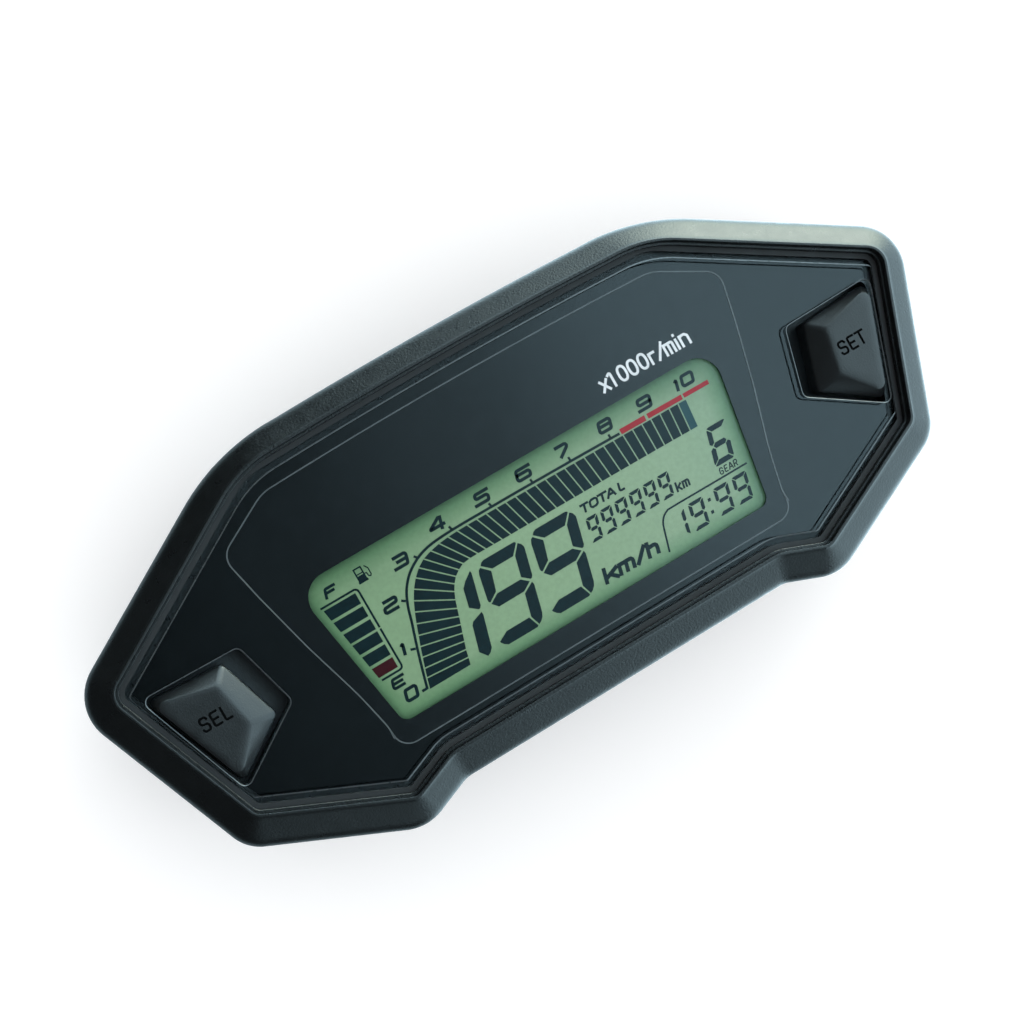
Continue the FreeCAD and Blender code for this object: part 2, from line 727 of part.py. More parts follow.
def build_zebra_strips():
    for label, y in (
        ("zebra_strip_upper", size.zebra_upper),
        ("zebra_strip_lower", size.zebra_lower),
    ):
        strip = rectangle(0, y, size.zebra_half, size.zebra_width / 2)
        prism(label, BOARD_FRONT_SEAT, size.z_rear_glass, [strip])


def build_lcd_holder():
    grow = size.holder_wall + size.holder_gap
    outside = polygon(panel("front_glass", grow, grow))
    holder = prism("lcd_holder", BOARD_FRONT_SEAT, size.z_holder, [outside])
    ear_top = size.z_board + size.ear_thick
    ears = [
        rectangle(x * side, y, half, size.ear_half_high)
        for x, y, half in (
            (size.upper_ear_x, size.ear_screw_upper_y, size.upper_ear_half),
            (size.lower_ear_x, size.ear_screw_lower_y, size.lower_ear_half),
        )
        for side in (1, -1)
    ]
    pad(holder, BOARD_FRONT_SEAT, ear_top, ears)
    inside = polygon(panel("front_glass", size.holder_gap, size.holder_gap))
    pocket(holder, size.z_holder, size.z_holder_floor, [inside])
    # hollow behind the floor, slots for the zebra strips, screw holes in the ears
    floor_back = size.z_holder_floor - size.holder_floor
    pocket(holder, floor_back, size.z_board, [polygon(panel("holder_opening"))])
    slot_half_x = size.zebra_half + size.zebra_end_gap
    slot_half_y = size.zebra_width / 2 + size.zebra_side_gap
    slots = [
        rectangle(0, y, slot_half_x, slot_half_y) for y in (size.zebra_upper, size.zebra_lower)
    ]
    pocket(holder, size.z_holder_floor, size.z_board, slots)
    holes = circles(EAR_SCREWS, size.board_shank + size.board_shank_gap)
    pocket(holder, ear_top, size.z_board, holes)


def build_backlight_leds():
    """Side-firing LEDs along both ends of the light guide."""
    leds = []
    for side in (1, -1):
        for y in (4.5, -4.5, -13.5):
            taper = (size.rear_glass_top - y) * size.guide_taper
            x = size.rear_glass_top_half - size.guide_inset - taper + size.backlight_out
            leds.append(rectangle(x * side, y, size.backlight_half_x, size.backlight_half_y))
    top = size.z_guide - size.backlight_drop
    prism("backlight_leds", size.z_holder_floor + GAP, top, leds)


# ---------------------------------------------------------------- indicator lights
def build_indicator_lights():
    half_y = (size.box_high - size.box_low) / 2
    outside = rectangle(0, BOX_Y, size.box_half, half_y)
    box = prism("indicator_light_box", BOARD_FRONT_SEAT, size.z_box, [outside])
    cells = [rectangle(x, BOX_Y, size.cell_half_x, size.cell_half_y) for x in CELLS_X]
    pocket(box, size.z_box, size.z_board, cells)
    leds = [rectangle(x, BOX_Y, size.indicator_half_x, size.indicator_half_y) for x in CELLS_X]
    prism("indicator_leds", BOARD_FRONT_SEAT, size.z_board + size.indicator_thick, leds)


# ---------------------------------------------------------------- circuit board and rear parts
def build_main_pcb():
    board = prism("main_pcb", BOARD_BACK, size.z_board, [outline(size.off_board)])
    holes = circles(BOARD_SCREWS, size.board_shank + size.board_shank_gap)
    pocket(board, size.z_board, BOARD_BACK, holes)
    pocket(board, size.z_board, BOARD_BACK, pin_squares(size.pin_hole_gap))


def rear_part(label, depth, shapes):
    """A part on the rear of the board, standing back from it by depth."""
    return prism(label, BOARD_REAR_SEAT - depth, BOARD_REAR_SEAT, shapes)


def build_chip(label, x, depth, half, lead_pitch, lead_half_length, lead_half_width):
    """A square chip with nine leads on each side."""
    y = 1.0
    lead_depth = 0.4
    chip = rear_part(label, depth, [rectangle(x, y, half, half)])
    reach = half + lead_half_length
    steps = [(side, lead_pitch * k) for side in (1, -1) for k in range(-4, 5)]
    leads = [
        rectangle(x + side * reach, y + along, lead_half_length, lead_half_width)
        for side, along in steps
    ]
    leads += [
        rectangle(x + along, y + side * reach, lead_half_width, lead_half_length)
        for side, along in steps
    ]
    pad(chip, BOARD_REAR_SEAT - lead_depth, BOARD_REAR_SEAT, leads)


def build_voltage_regulator():
    x, y = 31.0, 16.5
    tab_depth = 0.6
    body = rear_part("voltage_regulator", 2.3, [rectangle(x, y, 3.3, 3.0)])
    leads = [rectangle(x + shift, 12.6, 0.4, 1.0) for shift in (-2.3, 2.3)]
    tab = rectangle(x, 20.0, 2.6, 0.7)
    pad(body, BOARD_REAR_SEAT - tab_depth, BOARD_REAR_SEAT, leads + [tab])


def build_capacitors():
    places = [(-36.0, 17.5), (-27.0, 17.5), (20.5, 17.5)]
    can_radius, can_depth = 3.15, 6.0
    base_half, base_depth = 3.3, 0.9
    base_back = BOARD_REAR_SEAT - base_depth
    cans = circles(places, can_radius)
    body = prism("capacitors", BOARD_REAR_SEAT - can_depth, base_back, cans)
    bases = [rectangle(x, y, base_half, base_half) for x, y in places]
    pad(body, base_back, BOARD_REAR_SEAT, bases)


def build_smd_passives():
    pitch = 3.2
    rows = [(-44.0, 9.5, 5), (24.0, -8.5, 6), (24.0, -13.0, 6), (-46.0, -7.0, 3)]  # x, y, count
    parts = [
        rectangle(first_x + pitch * k, y, 1.0, 0.6)
        for first_x, y, count in rows
        for k in range(count)
    ]
    rear_part("smd_passives", 0.6, parts)


def build_rear_parts():
    build_chip(
        "microcontroller", x=-31.0, depth=1.5, half=6.0,
        lead_pitch=1.1, lead_half_length=0.6, lead_half_width=0.3,
    )
    build_chip(
        "lcd_driver_chip", x=31.0, depth=1.4, half=5.0,
        lead_pitch=1.0, lead_half_length=0.5, lead_half_width=0.25,
    )
    build_voltage_regulator()
    build_capacitors()
    crystal = rectangle(x=-31.0, y=-12.0, half_x=5.4, half_y=2.2, radius=2.0)
    rear_part("quartz_crystal", 3.4, [crystal])
    build_smd_passives()


# ---------------------------------------------------------------- connector
def build_connector():
    outside = plug_rectangle(0.0, size.plug_radius)
    header = prism("connector_header", size.z_plug, BOARD_REAR_SEAT, [outside])
    cavity = plug_rectangle(-size.plug_wall, size.cavity_radius)
    pocket(header, size.z_cavity, size.z_plug, [cavity])
    pocket(header, BOARD_REAR_SEAT, size.z_cavity, pin_squares(GAP))
    prism("connector_pins", size.z_pin_low, size.z_pin_top, pin_squares())
    ring = [
        plug_rectangle(size.plug_seal, PLUG_SEAL_RADIUS),
        plug_rectangle(GAP, size.plug_radius),
    ]
    front = size.z_floor + size.seal_front
    prism("connector_seal", size.z_back + size.seal_back, front, ring)


# ---------------------------------------------------------------- buttons and switches
def button_points(level, side):
    points = [size.point("button_%s_%s" % (level, name)) for name, *_ in BUTTON_CORNERS]
    return [(x * side, y) for x, y in points]


def build_button(label, side, x, y):
    """A cap with lofted slopes, on a round stem."""
    base = polygon(button_points("base", side), size.button_radius)
    face = polygon(button_points("face", side), size.button_radius)
    button = prism(label, size.z_button_bottom, size.z_button_edge, [base])
    foot = new_sketch(button, size.z_button_edge, [base])
    head = new_sketch(button, size.z_button_top, [face])
    loft = button.newObject("PartDesign::AdditiveLoft", numbered("Loft"))
    loft.Profile = foot
    loft.Sections = [head]
    loft.Ruled = True
    doc.recompute()
    fillet_at(button, size.z_button_top, size.button_round)
    pad(button, size.z_stem, size.z_button_bottom, [circle(x, y, size.stem_radius)])


def build_button_rings(side_name, x, y):
    """The seal under the cap and the retaining clip under the well floor."""
    seal = [circle(x, y, size.seal_radius), circle(x, y, size.stem_radius + size.seal_gap)]
    top = size.z_button_bottom - GAP
    prism(side_name + "_button_seal", size.z_well_floor + GAP, top, seal)
    clip = [circle(x, y, size.clip_radius), circle(x, y, size.stem_radius + GAP)]
    top = size.z_well_under - GAP
    prism(side_name + "_button_clip", top - size.clip_thick, top, clip)


def build_switch(side_name, x, y):
    body = prism(
        side_name + "_switch_body",
        BOARD_FRONT_SEAT,
        size.z_switch,
        [rectangle(x, y, size.switch_half, size.switch_half)],
    )
    leg_x, leg_y = size.point("switch_leg")
    legs = [
        rectangle(x + leg_x * across, y + leg_y * up, size.leg_half_x, size.leg_half_y)
        for across in (-1, 1)
        for up in (-1, 1)
    ]
    pad(body, BOARD_FRONT_SEAT, size.z_board + size.leg_top, legs)
    bore = circle(x, y, size.plunger_radius + size.stem_gap)
    pocket(body, size.z_switch, size.z_switch_floor, [bore])
    plunger = circle(x, y, size.plunger_radius)
    prism(side_name + "_switch_plunger", size.z_plunger_low, size.z_plunger, [plunger])


def build_button_sets():
    for side, side_name in ((-1, "sel"), (1, "set")):
        x, y = size.stem_x * side, size.stem_y
        build_button(side_name + "_button", side, x, y)
        build_button_rings(side_name, x, y)
        build_switch(side_name, x, y)


# ---------------------------------------------------------------- rear cover and its hardware
def build_rear_cover():
    cover = prism("rear_cover", size.z_back, size.z_rim, [outer(size.cover_step)])
    fillet_at(cover, size.z_back, size.back_round)
    pocket(cover, size.z_rim, size.z_floor, [outer(size.wall_rear)])
    # screw bosses, seal groove and board posts
    inside_root = size.z_floor - size.overlap
    pad(cover, inside_root, size.z_rim, circles(SCREWS, size.screw_boss))
    pocket(cover, size.z_rim, size.z_seal, [outer(size.groove_out), outer(size.groove_in)])
    pad(cover, inside_root, BOARD_REAR_SEAT, circles(BOARD_SCREWS, size.post_radius))
    # mounting bosses, and the stiffening ribs between them
    outside_root = size.z_back + size.overlap
    pad(cover, 0.0, outside_root, circles(MOUNTS, size.boss_radius))
    fillet_at(cover, 0.0, size.boss_round)
    rib_x = size.boss_x - size.rib_short
    rib_y = size.boss_y - size.rib_short
    ribs = [rectangle(0, size.boss_y * side, rib_x, size.rib_half) for side in (1, -1)]
    ribs += [rectangle(size.boss_x * side, 0, size.rib_half, rib_y) for side in (1, -1)]
    pad(cover, size.z_rib, outside_root, ribs)
    # shroud round the connector
    shroud_outside = plug_rectangle(
        size.plug_seal + size.shroud_wall, PLUG_SEAL_RADIUS + size.shroud_wall
    )
    shroud_inside = plug_rectangle(size.plug_seal + GAP, PLUG_SEAL_RADIUS)
    above_floor = size.z_floor + size.join_over
    behind_back = size.z_back - size.cut_over
    pad(cover, size.z_shroud, outside_root, [shroud_outside])
    pocket(cover, above_floor, size.z_shroud, [shroud_inside])
    # holes for inserts, vent plug, housing screws with their heads, and board screws
    pocket(cover, size.insert_length, 0.0, circles(MOUNTS, size.insert_radius + GAP))
    pocket(cover, above_floor, behind_back, [circle(0, size.vent_y, size.vent_radius + GAP)])
    shank_holes = circles(SCREWS, size.shank_radius + size.shank_gap)
    pocket(cover, size.z_rim, size.z_head, shank_holes)
    head_holes = circles(SCREWS, size.head_radius + size.head_gap)
    pocket(cover, size.z_head + size.head_thick + GAP, behind_back, head_holes)
    post_holes = circles(BOARD_SCREWS, size.board_shank + GAP)
    pocket(cover, BOARD_BACK, BOARD_BACK - size.post_hole, post_holes)


def build_housing_seal():
    ring = [outer(size.groove_out - size.groove_gap), outer(size.groove_in + size.groove_gap)]
    prism("housing_seal", size.z_seal + GAP, size.z_split - GAP, ring)


def cross(x, y):
    """A plus-shaped screw recess."""
    w, l = size.cross_half_width, size.cross_half_length
    return polygon([
        (x - w, y - l), (x + w, y - l), (x + w, y - w), (x + l, y - w),
        (x + l, y + w), (x + w, y + w), (x + w, y + l), (x - w, y + l),
        (x - w, y + w), (x - l, y + w), (x - l, y - w), (x - w, y - w),
    ])


def build_cover_screws():
    head_front = size.z_head + size.head_thick
    shanks = circles(SCREWS, size.shank_radius)
    screws = prism("cover_screws", head_front - size.screw_overlap, size.z_shank, shanks)
    pad(screws, size.z_head, head_front, circles(SCREWS, size.head_radius))
    crosses = [cross(x, y) for x, y in SCREWS]
    pocket(screws, size.z_head + size.cross_depth, size.z_head, crosses)


def build_pcb_screws():
    screws = new_body("pcb_screws")
    seats = [(size.z_board + size.ear_thick + GAP, EAR_SCREWS), (BOARD_FRONT_SEAT, FLAT_SCREWS)]
    for seat, places in seats:
        pad(screws, seat, seat + size.board_head_thick, circles(places, size.board_head))
    tip = BOARD_BACK - size.board_shank_depth
    for seat, places in seats:
        pad(screws, tip, seat + size.screw_overlap, circles(places, size.board_shank))


def build_mount_inserts():
    rings = circles(MOUNTS, size.insert_radius) + circles(MOUNTS, size.insert_bore)
    prism("mount_inserts", 0.0, size.insert_length, rings)


def build_vent_plug():
    cap_back = size.z_back - size.vent_cap_thick
    cap = circle(0, size.vent_y, size.vent_cap)
    plug = prism("vent_plug", cap_back, size.z_back - GAP, [cap])
    fillet_at(plug, cap_back, size.vent_round)
    stem = circle(0, size.vent_y, size.vent_radius)
    pad(plug, size.z_back - size.vent_overlap, size.z_floor + size.vent_rise, [stem])


# ---------------------------------------------------------------- build, check and export
def export_pieces():
    doc.recompute()
    bad = []
    for item in doc.Objects:
        if "Invalid" in item.State or "Error" in item.State:
            bad.append("%s %s" % (item.Name, item.State))
    bodies = [item for item in doc.Objects if item.TypeId == "PartDesign::Body"]
    for body in bodies:
        if body.Shape.isNull() or not body.Shape.isValid() or not body.Shape.Solids:
            bad.append("%s: shape" % body.Label)
    if bad:
        raise RuntimeError("failed objects: " + "; ".join(bad))
    os.makedirs("parts", exist_ok=True)
    for body in bodies:
        body.Shape.exportStep("parts/%s.step" % body.Label)


build_front_bezel()
build_lens()
build_lens_gasket()
build_dial_mask()
build_lcd_layers()
build_zebra_strips()
build_lcd_holder()
build_backlight_leds()
build_indicator_lights()
build_main_pcb()
build_rear_parts()
build_connector()
build_button_sets()
build_rear_cover()
build_housing_seal()
build_cover_screws()
build_pcb_screws()
build_mount_inserts()
build_vent_plug()
export_pieces()
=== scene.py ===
"""Dash instrument: an LCD with tachometer, fuel gauge and speed behind a clear lens, in a black
bezel with a SEL key on the left and a SET key on the right.

It lies flat with its face up (+Z), its top edge towards +Y and the SET key towards +X.
Sizes are in millimetres until the meshes, materials, camera and lights are made, in metres.
"""
import itertools
import math

import bmesh
import bpy
from mathutils import Matrix, Vector
from mathutils.geometry import tessellate_polygon


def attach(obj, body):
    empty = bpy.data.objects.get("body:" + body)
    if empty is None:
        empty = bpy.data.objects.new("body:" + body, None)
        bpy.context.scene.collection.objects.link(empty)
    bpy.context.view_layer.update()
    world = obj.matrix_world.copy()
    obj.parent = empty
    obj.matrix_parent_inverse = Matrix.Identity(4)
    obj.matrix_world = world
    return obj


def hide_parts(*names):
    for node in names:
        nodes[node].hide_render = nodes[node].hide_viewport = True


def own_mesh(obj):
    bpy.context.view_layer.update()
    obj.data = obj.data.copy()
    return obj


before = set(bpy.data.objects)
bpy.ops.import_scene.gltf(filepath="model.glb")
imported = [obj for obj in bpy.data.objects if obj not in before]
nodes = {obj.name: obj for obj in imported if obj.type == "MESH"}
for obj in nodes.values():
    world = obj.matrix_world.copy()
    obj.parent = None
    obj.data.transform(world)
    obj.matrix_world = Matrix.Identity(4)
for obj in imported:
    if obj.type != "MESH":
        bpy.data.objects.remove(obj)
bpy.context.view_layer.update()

MM = 0.001
scene = bpy.context.scene

# ------------------------------------------------------------------ driving sizes (mm)
# Right-hand corners of the symmetric outlines, clockwise from the end of the crowned top edge.
# The last one is concave: there the middle of the bottom edge steps up.
LIP_CORNERS = [(40.7, 31.2), (77.5, 9.3), (66.6, -19.5), (42.2, -30.9), (33.5, -27.5)]
BODY_CORNERS = [(42.8, 35.71), (84.2, 11.07), (70.84, -24.25), (42.91, -37.3), (32.94, -33.4)]
LIP_RADII = [22.0, 3.2, 2.4, 2.6, 7.2]
BODY_RADII = [40.0, 8.6, 7.4, 8.6, 5.5]
# shift of each corner for 1 mm of outward offset
CORNER_MITRES = [(0.2954, 0.9879), (1.2322, 0.4305), (0.7914, -0.734), (0.0351, -1.0874),
                 (-0.1885, -1.0)]
MIN_RADIUS = 0.7
CROWN_RADIUS = 920.0
CROWN_STEPS = 24
OUTLINE_ARC_STEPS = 14
SMALL_ARC_STEPS = 8
CIRCLE_STEPS = 48

# Right-hand key well: inner top, outer top, outer bottom, inner bottom
WELL_CORNERS = [(55.4, 5.8), (73.5, 6.25), (65.8, -15.3), (52.1, -6.4)]
WELL_MITRES = [(-0.7705, 0.9812), (1.4321, 1.0359), (0.516, -1.5277), (-1.1555, -0.4419)]
WELL_RADIUS = 1.2
WELL_WALL = 1.2

# Right-hand key: outer top, inner top, inner bottom, outer bottom
KEY_FOOT = [(72.9, 5.55), (58.9, 4.75), (55.1, -7.1), (65.7, -14.15)]
KEY_FACE = [(72.4, 4.95), (61.2, 2.1), (59.4, -6.1), (65.6, -13.3)]
STEM_X, STEM_Y = 63.0, -2.4

LIP_TOP = 40.0
LENS_TOP = 38.2
LENS_BOTTOM = 36.22
KEY_TOP = 39.0
SEAL_BOTTOM = 31.22

# ------------------------------------------------------------------ camera
VIEWPOINT = Vector((-65.05, 20.11, 374.78))
VIEW_TILT = math.radians(3.003)
VIEW_TURN = math.radians(10.329)
VIEW_ROLL = math.radians(29.891)


def add_camera():
    data = bpy.data.cameras.new("camera")
    data.sensor_width = 36.0
    data.lens = 70.3125
    data.clip_start = 0.01
    data.clip_end = 10.0
    camera = bpy.data.objects.new("camera", data)
    scene.collection.objects.link(camera)
    world_to_view = (Matrix.Rotation(VIEW_ROLL, 3, "Z") @ Matrix.Rotation(VIEW_TILT, 3, "X")
                     @ Matrix.Rotation(VIEW_TURN, 3, "Y"))
    placement = world_to_view.transposed().to_4x4()
    placement.translation = VIEWPOINT * MM
    camera.matrix_world = placement
    scene.camera = camera


add_camera()

# Artwork is drawn in a frame of its own: scaled, shifted in y, with z = 0 at the lip.
ART_SCALE = 1.02
ART_SHIFT_Y = 9.33


def along_view(drawn_z, target_z):
    """Returns a map from artwork at height drawn_z, along the lines of sight, to z = target_z."""
    def place(point):
        drawn = Vector((ART_SCALE * point[0], ART_SCALE * point[1] + ART_SHIFT_Y,
                        LIP_TOP + ART_SCALE * drawn_z))
        share = (target_z - VIEWPOINT.z) / (drawn.z - VIEWPOINT.z)
        landed = VIEWPOINT + (drawn - VIEWPOINT) * share
        return (landed.x, landed.y)
    return place


to_mask = along_view(-2.7, 36.11)
to_lcd = along_view(-4.1, 35.22)
to_key_face = along_view(-1.27, KEY_TOP)


# ------------------------------------------------------------------ outlines
def half_angle(dot):
    return math.acos(max(-1.0, min(1.0, dot))) / 2


def corner_arc(corner, back, ahead, half, radius, tangent, steps):
    """Arc in a corner; back and ahead point along its sides, tangent is the length it takes."""
    centre = corner + (back + ahead).normalized() * (radius / math.sin(half))
    start, end = corner + back * tangent, corner + ahead * tangent
    first = math.atan2(start.y - centre.y, start.x - centre.x)
    last = math.atan2(end.y - centre.y, end.x - centre.x)
    sweep = (last - first + math.pi) % (2 * math.pi) - math.pi
    angles = [first + sweep * i / steps for i in range(steps + 1)]
    return [Vector((centre.x + radius * math.cos(a), centre.y + radius * math.sin(a)))
            for a in angles]


def round_loop(corners, radii, steps=SMALL_ARC_STEPS, directions=None):
    """Rounds each corner; directions overrides a side's direction, keyed (corner, -1 or 1)."""
    directions = directions or {}
    points = [Vector(p) for p in corners]
    loop = []
    for k, corner in enumerate(points):
        ahead_point = points[(k + 1) % len(points)]
        back = directions.get((k, -1)) or (points[k - 1] - corner).normalized()
        ahead = directions.get((k, 1)) or (ahead_point - corner).normalized()
        half = half_angle(back.dot(ahead))
        tangent = radii[k] / math.tan(half)
        loop += corner_arc(corner, back, ahead, half, radii[k], tangent, steps)
    return loop


def mirrored(points):
    return [(-x, y) for x, y in points[::-1]]


def offset_corners(corners, mitres, offset):
    return [(x + offset * mx, y + offset * my) for (x, y), (mx, my) in zip(corners, mitres)]


def offset_radii(radii, offset):
    """Corner radii after an outward offset; the last, concave corner tightens instead."""
    changed = [r + offset for r in radii[:-1]] + [radii[-1] - offset]
    return [max(MIN_RADIUS, r) for r in changed]


def crowned_loop(right, radii, crown_radius):
    """Symmetric loop from its right-hand corners, closed by the crown along the top."""
    end_x, end_y = right[0]
    drop = math.sqrt(crown_radius * crown_radius - end_x * end_x)
    crown_ends = {(0, -1): Vector((-drop, end_x)) / crown_radius,
                  (2 * len(right) - 1, 1): Vector((drop, end_x)) / crown_radius}
    loop = round_loop(right + mirrored(right), radii + radii[::-1], OUTLINE_ARC_STEPS, crown_ends)
    centre_y = end_y - drop
    left_x, right_x = loop[-1].x, loop[0].x
    for i in range(1, CROWN_STEPS):
        x = left_x + (right_x - left_x) * i / CROWN_STEPS
        loop.append(Vector((x, centre_y + math.sqrt(crown_radius * crown_radius - x * x))))
    return loop


def lip(offset):
    """Inner edge of the bezel's lip, offset outwards."""
    return crowned_loop(offset_corners(LIP_CORNERS, CORNER_MITRES, offset),
                        offset_radii(LIP_RADII, offset), CROWN_RADIUS + offset)


def body(offset):
    """Outside of the bezel, offset outwards."""
    return crowned_loop(offset_corners(BODY_CORNERS, CORNER_MITRES, offset),
                        offset_radii(BODY_RADII, offset), CROWN_RADIUS + offset)


def well(side, offset=0.0):
    """Key well, offset outwards; side is 1 on the right and -1 on the left."""
    corners = offset_corners(WELL_CORNERS, WELL_MITRES, offset)
    return round_loop([(x * side, y) for x, y in corners], [max(0.3, WELL_RADIUS + offset)] * 4)


def stem_circle(side, radius):
    """Circle about the axis of a key's stem."""
    angles = [2 * math.pi * i / CIRCLE_STEPS for i in range(CIRCLE_STEPS)]
    return [Vector((STEM_X * side + radius * math.cos(a), STEM_Y + radius * math.sin(a)))
            for a in angles]


def between(first, second, share):
    """Loop lying the given share of the way from the first loop to the second."""
    return [p * (1 - share) + q * share for p, q in zip(first, second)]


def normal_towards(start, end, target):
    """Unit normal of the line start-end, on the target's side."""
    along = (end - start).normalized()
    normal = Vector((-along.y, along.x))
    return -normal if normal.dot(target - start) < 0 else normal


# ------------------------------------------------------------------ mesh helpers
def link_mesh(name, bm, material, smooth=None, body="housing"):
    """Makes the object; smooth is the angle in degrees above which edges stay sharp."""
    bmesh.ops.recalc_face_normals(bm, faces=bm.faces[:])
    mesh = bpy.data.meshes.new(name)
    bm.to_mesh(mesh)
    bm.free()
    ob = bpy.data.objects.new(name, mesh)
    scene.collection.objects.link(ob)
    mesh.materials.append(MATERIALS[material])
    if smooth is not None:
        mesh.polygons.foreach_set("use_smooth", [True] * len(mesh.polygons))
        mesh.set_sharp_from_angle(angle=math.radians(smooth))
        for face in mesh.polygons:
            if abs(face.normal.z) > 0.9999:
                face.use_smooth = False
    mesh.update()
    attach(ob, body)
    return ob


def add_vert(bm, point, z):
    return bm.verts.new((point[0] * MM, point[1] * MM, z * MM))


def add_rings(bm, rings):
    """rings: list of (loop, z)."""
    return [[add_vert(bm, p, z) for p in loop] for loop, z in rings]


def wall(bm, first, second):
    """Quads between two closed rings of vertices."""
    for i in range(len(first)):
        j = (i + 1) % len(first)
        bm.faces.new((first[i], first[j], second[j], second[i]))


def cap(bm, loops):
    """Fills loops[0] minus the others with triangles."""
    flat = [v for loop in loops for v in loop]
    triangles = tessellate_polygon([[Vector((v.co.x, v.co.y, 0)) for v in lp] for lp in loops])
    for triangle in triangles:
        try:
            bm.faces.new([flat[i] for i in triangle])
        except ValueError:
            # the tessellation can repeat a triangle or use a vertex twice
            pass


def solid(bm, stacks):
    """Each stack lists (loop, z) from bottom to top; stacks after the first are holes."""
    tops, bottoms = [], []
    for stack in stacks:
        rings = add_rings(bm, stack)
        for lower, upper in zip(rings, rings[1:]):
            wall(bm, lower, upper)
        bottoms.append(rings[0])
        tops.append(rings[-1])
    cap(bm, tops)
    cap(bm, bottoms)


def cup(bm, outer, inner, hole, bottom, floor, top):
    """Open box: a floor with a hole in it, and a wall up to the top."""
    outer_low, outer_high, inner_high, inner_low, hole_high, hole_low = add_rings(
        bm, [(outer, bottom), (outer, top), (inner, top), (inner, floor), (hole, floor),
             (hole, bottom)])
    wall(bm, outer_low, outer_high)
    wall(bm, inner_high, inner_low)
    wall(bm, hole_high, hole_low)
    cap(bm, [outer_high, inner_high])
    cap(bm, [inner_low, hole_high])
    cap(bm, [outer_low, hole_low])


def closed_ring(bm, profile):
    """Ring solid: (loop, z) joined in order and back to the first."""
    rings = add_rings(bm, profile)
    for k, ring in enumerate(rings):
        wall(bm, ring, rings[(k + 1) % len(rings)])


def prism(bm, polygon, low, high):
    area = sum(polygon[i - 1][0] * polygon[i][1] - polygon[i][0] * polygon[i - 1][1]
               for i in range(len(polygon)))
    if area < 0:
        polygon = polygon[::-1]
    lower, upper = add_rings(bm, [(polygon, low), (polygon, high)])
    bm.faces.new(upper)
    bm.faces.new(lower[::-1])
    wall(bm, lower, upper)


def offset_path(path, width, closed=False):
    """Left and right sides of a path, with mitred corners."""
    points = [Vector(p) for p in path]
    last = len(points) - 1
    left, right = [], []
    for k, point in enumerate(points):
        before = points[k - 1] if (k > 0 or closed) else None
        after = points[(k + 1) % len(points)] if (k < last or closed) else None
        arriving = (point - before if before is not None else after - point).normalized()
        leaving = (after - point).normalized() if after is not None else arriving
        normal_in = Vector((-arriving.y, arriving.x))
        normal_out = Vector((-leaving.y, leaving.x))
        mitre = (normal_in + normal_out) / max(0.35, (1 + normal_in.dot(normal_out)))
        left.append(point + mitre * (width / 2))
        right.append(point - mitre * (width / 2))
    return left, right


def soften(path, radius, closed=False):
    """Rounds the corners of a path with arcs of up to the radius."""
    points = [Vector(p) for p in path]
    count = len(points)
    out = []
    for k, corner in enumerate(points):
        if not closed and k in (0, count - 1):
            out.append(corner)
            continue
        back, ahead = points[k - 1] - corner, points[(k + 1) % count] - corner
        shortest = min(back.length, ahead.length)
        back, ahead = back / back.length, ahead / ahead.length
        dot = max(-1.0, min(1.0, back.dot(ahead)))
        if dot < -0.995:  # nearly straight
            out.append(corner)
            continue
        half = half_angle(dot)
        tangent = min(radius / math.tan(half), 0.45 * shortest)
        out += corner_arc(corner, back, ahead, half, tangent * math.tan(half), tangent, steps=3)
    return out


def stroke(bm, path, width, low, high, closed=False, place=None):
    """Solid ribbon of constant width along a path; place maps its sides before they are built."""
    columns = []
    for side in offset_path(path, width, closed):
        placed = [place(p) if place else p for p in side]
        columns.append([(add_vert(bm, p, low), add_vert(bm, p, high)) for p in placed])
    left, right = columns
    count = len(path)
    for i in range(count if closed else count - 1):
        j = (i + 1) % count
        bm.faces.new((left[i][1], right[i][1], right[j][1], left[j][1]))
        bm.faces.new((left[i][0], left[j][0], right[j][0], right[i][0]))
        bm.faces.new((left[i][0], left[i][1], left[j][1], left[j][0]))
        bm.faces.new((right[i][0], right[j][0], right[j][1], right[i][1]))
    if not closed:
        bm.faces.new((left[0][0], right[0][0], right[0][1], left[0][1]))
        bm.faces.new((left[-1][0], left[-1][1], right[-1][1], right[-1][0]))


# ------------------------------------------------------------------ shader helpers
def feed(tree, socket, value):
    """Links a socket to the input, or sets the input to a plain value."""
    if isinstance(value, bpy.types.NodeSocket):
        tree.links.new(value, socket)
    else:
        socket.default_value = value


def math_node(tree, operation, *operands):
    node = tree.nodes.new("ShaderNodeMath")
    node.operation = operation
    for socket, value in zip(node.inputs, operands):
        feed(tree, socket, value)
    return node.outputs[0]


def vector_math(tree, operation, *operands):
    node = tree.nodes.new("ShaderNodeVectorMath")
    node.operation = operation
    for socket, value in zip(node.inputs, operands):
        feed(tree, socket, value)
    return node.outputs["Value" if operation == "DOT_PRODUCT" else "Vector"]


def position(tree):
    return tree.nodes.new("ShaderNodeNewGeometry").outputs["Position"]


def noise(tree, scale, detail, roughness=0.5):
    node = tree.nodes.new("ShaderNodeTexNoise")
    node.inputs["Scale"].default_value = scale
    node.inputs["Detail"].default_value = detail
    node.inputs["Roughness"].default_value = roughness
    tree.links.new(position(tree), node.inputs["Vector"])
    return node.outputs["Fac"]


def ramp(tree, value, stops, interpolation="LINEAR"):
    """stops: list of (position, rgb)."""
    node = tree.nodes.new("ShaderNodeValToRGB")
    node.color_ramp.interpolation = interpolation
    elements = node.color_ramp.elements
    elements.remove(elements[-1])
    elements[0].position = stops[0][0]
    elements[0].color = (*stops[0][1], 1)
    for place, color in stops[1:]:
        elements.new(place).color = (*color, 1)
    tree.links.new(value, node.inputs["Fac"])
    return node.outputs["Color"]


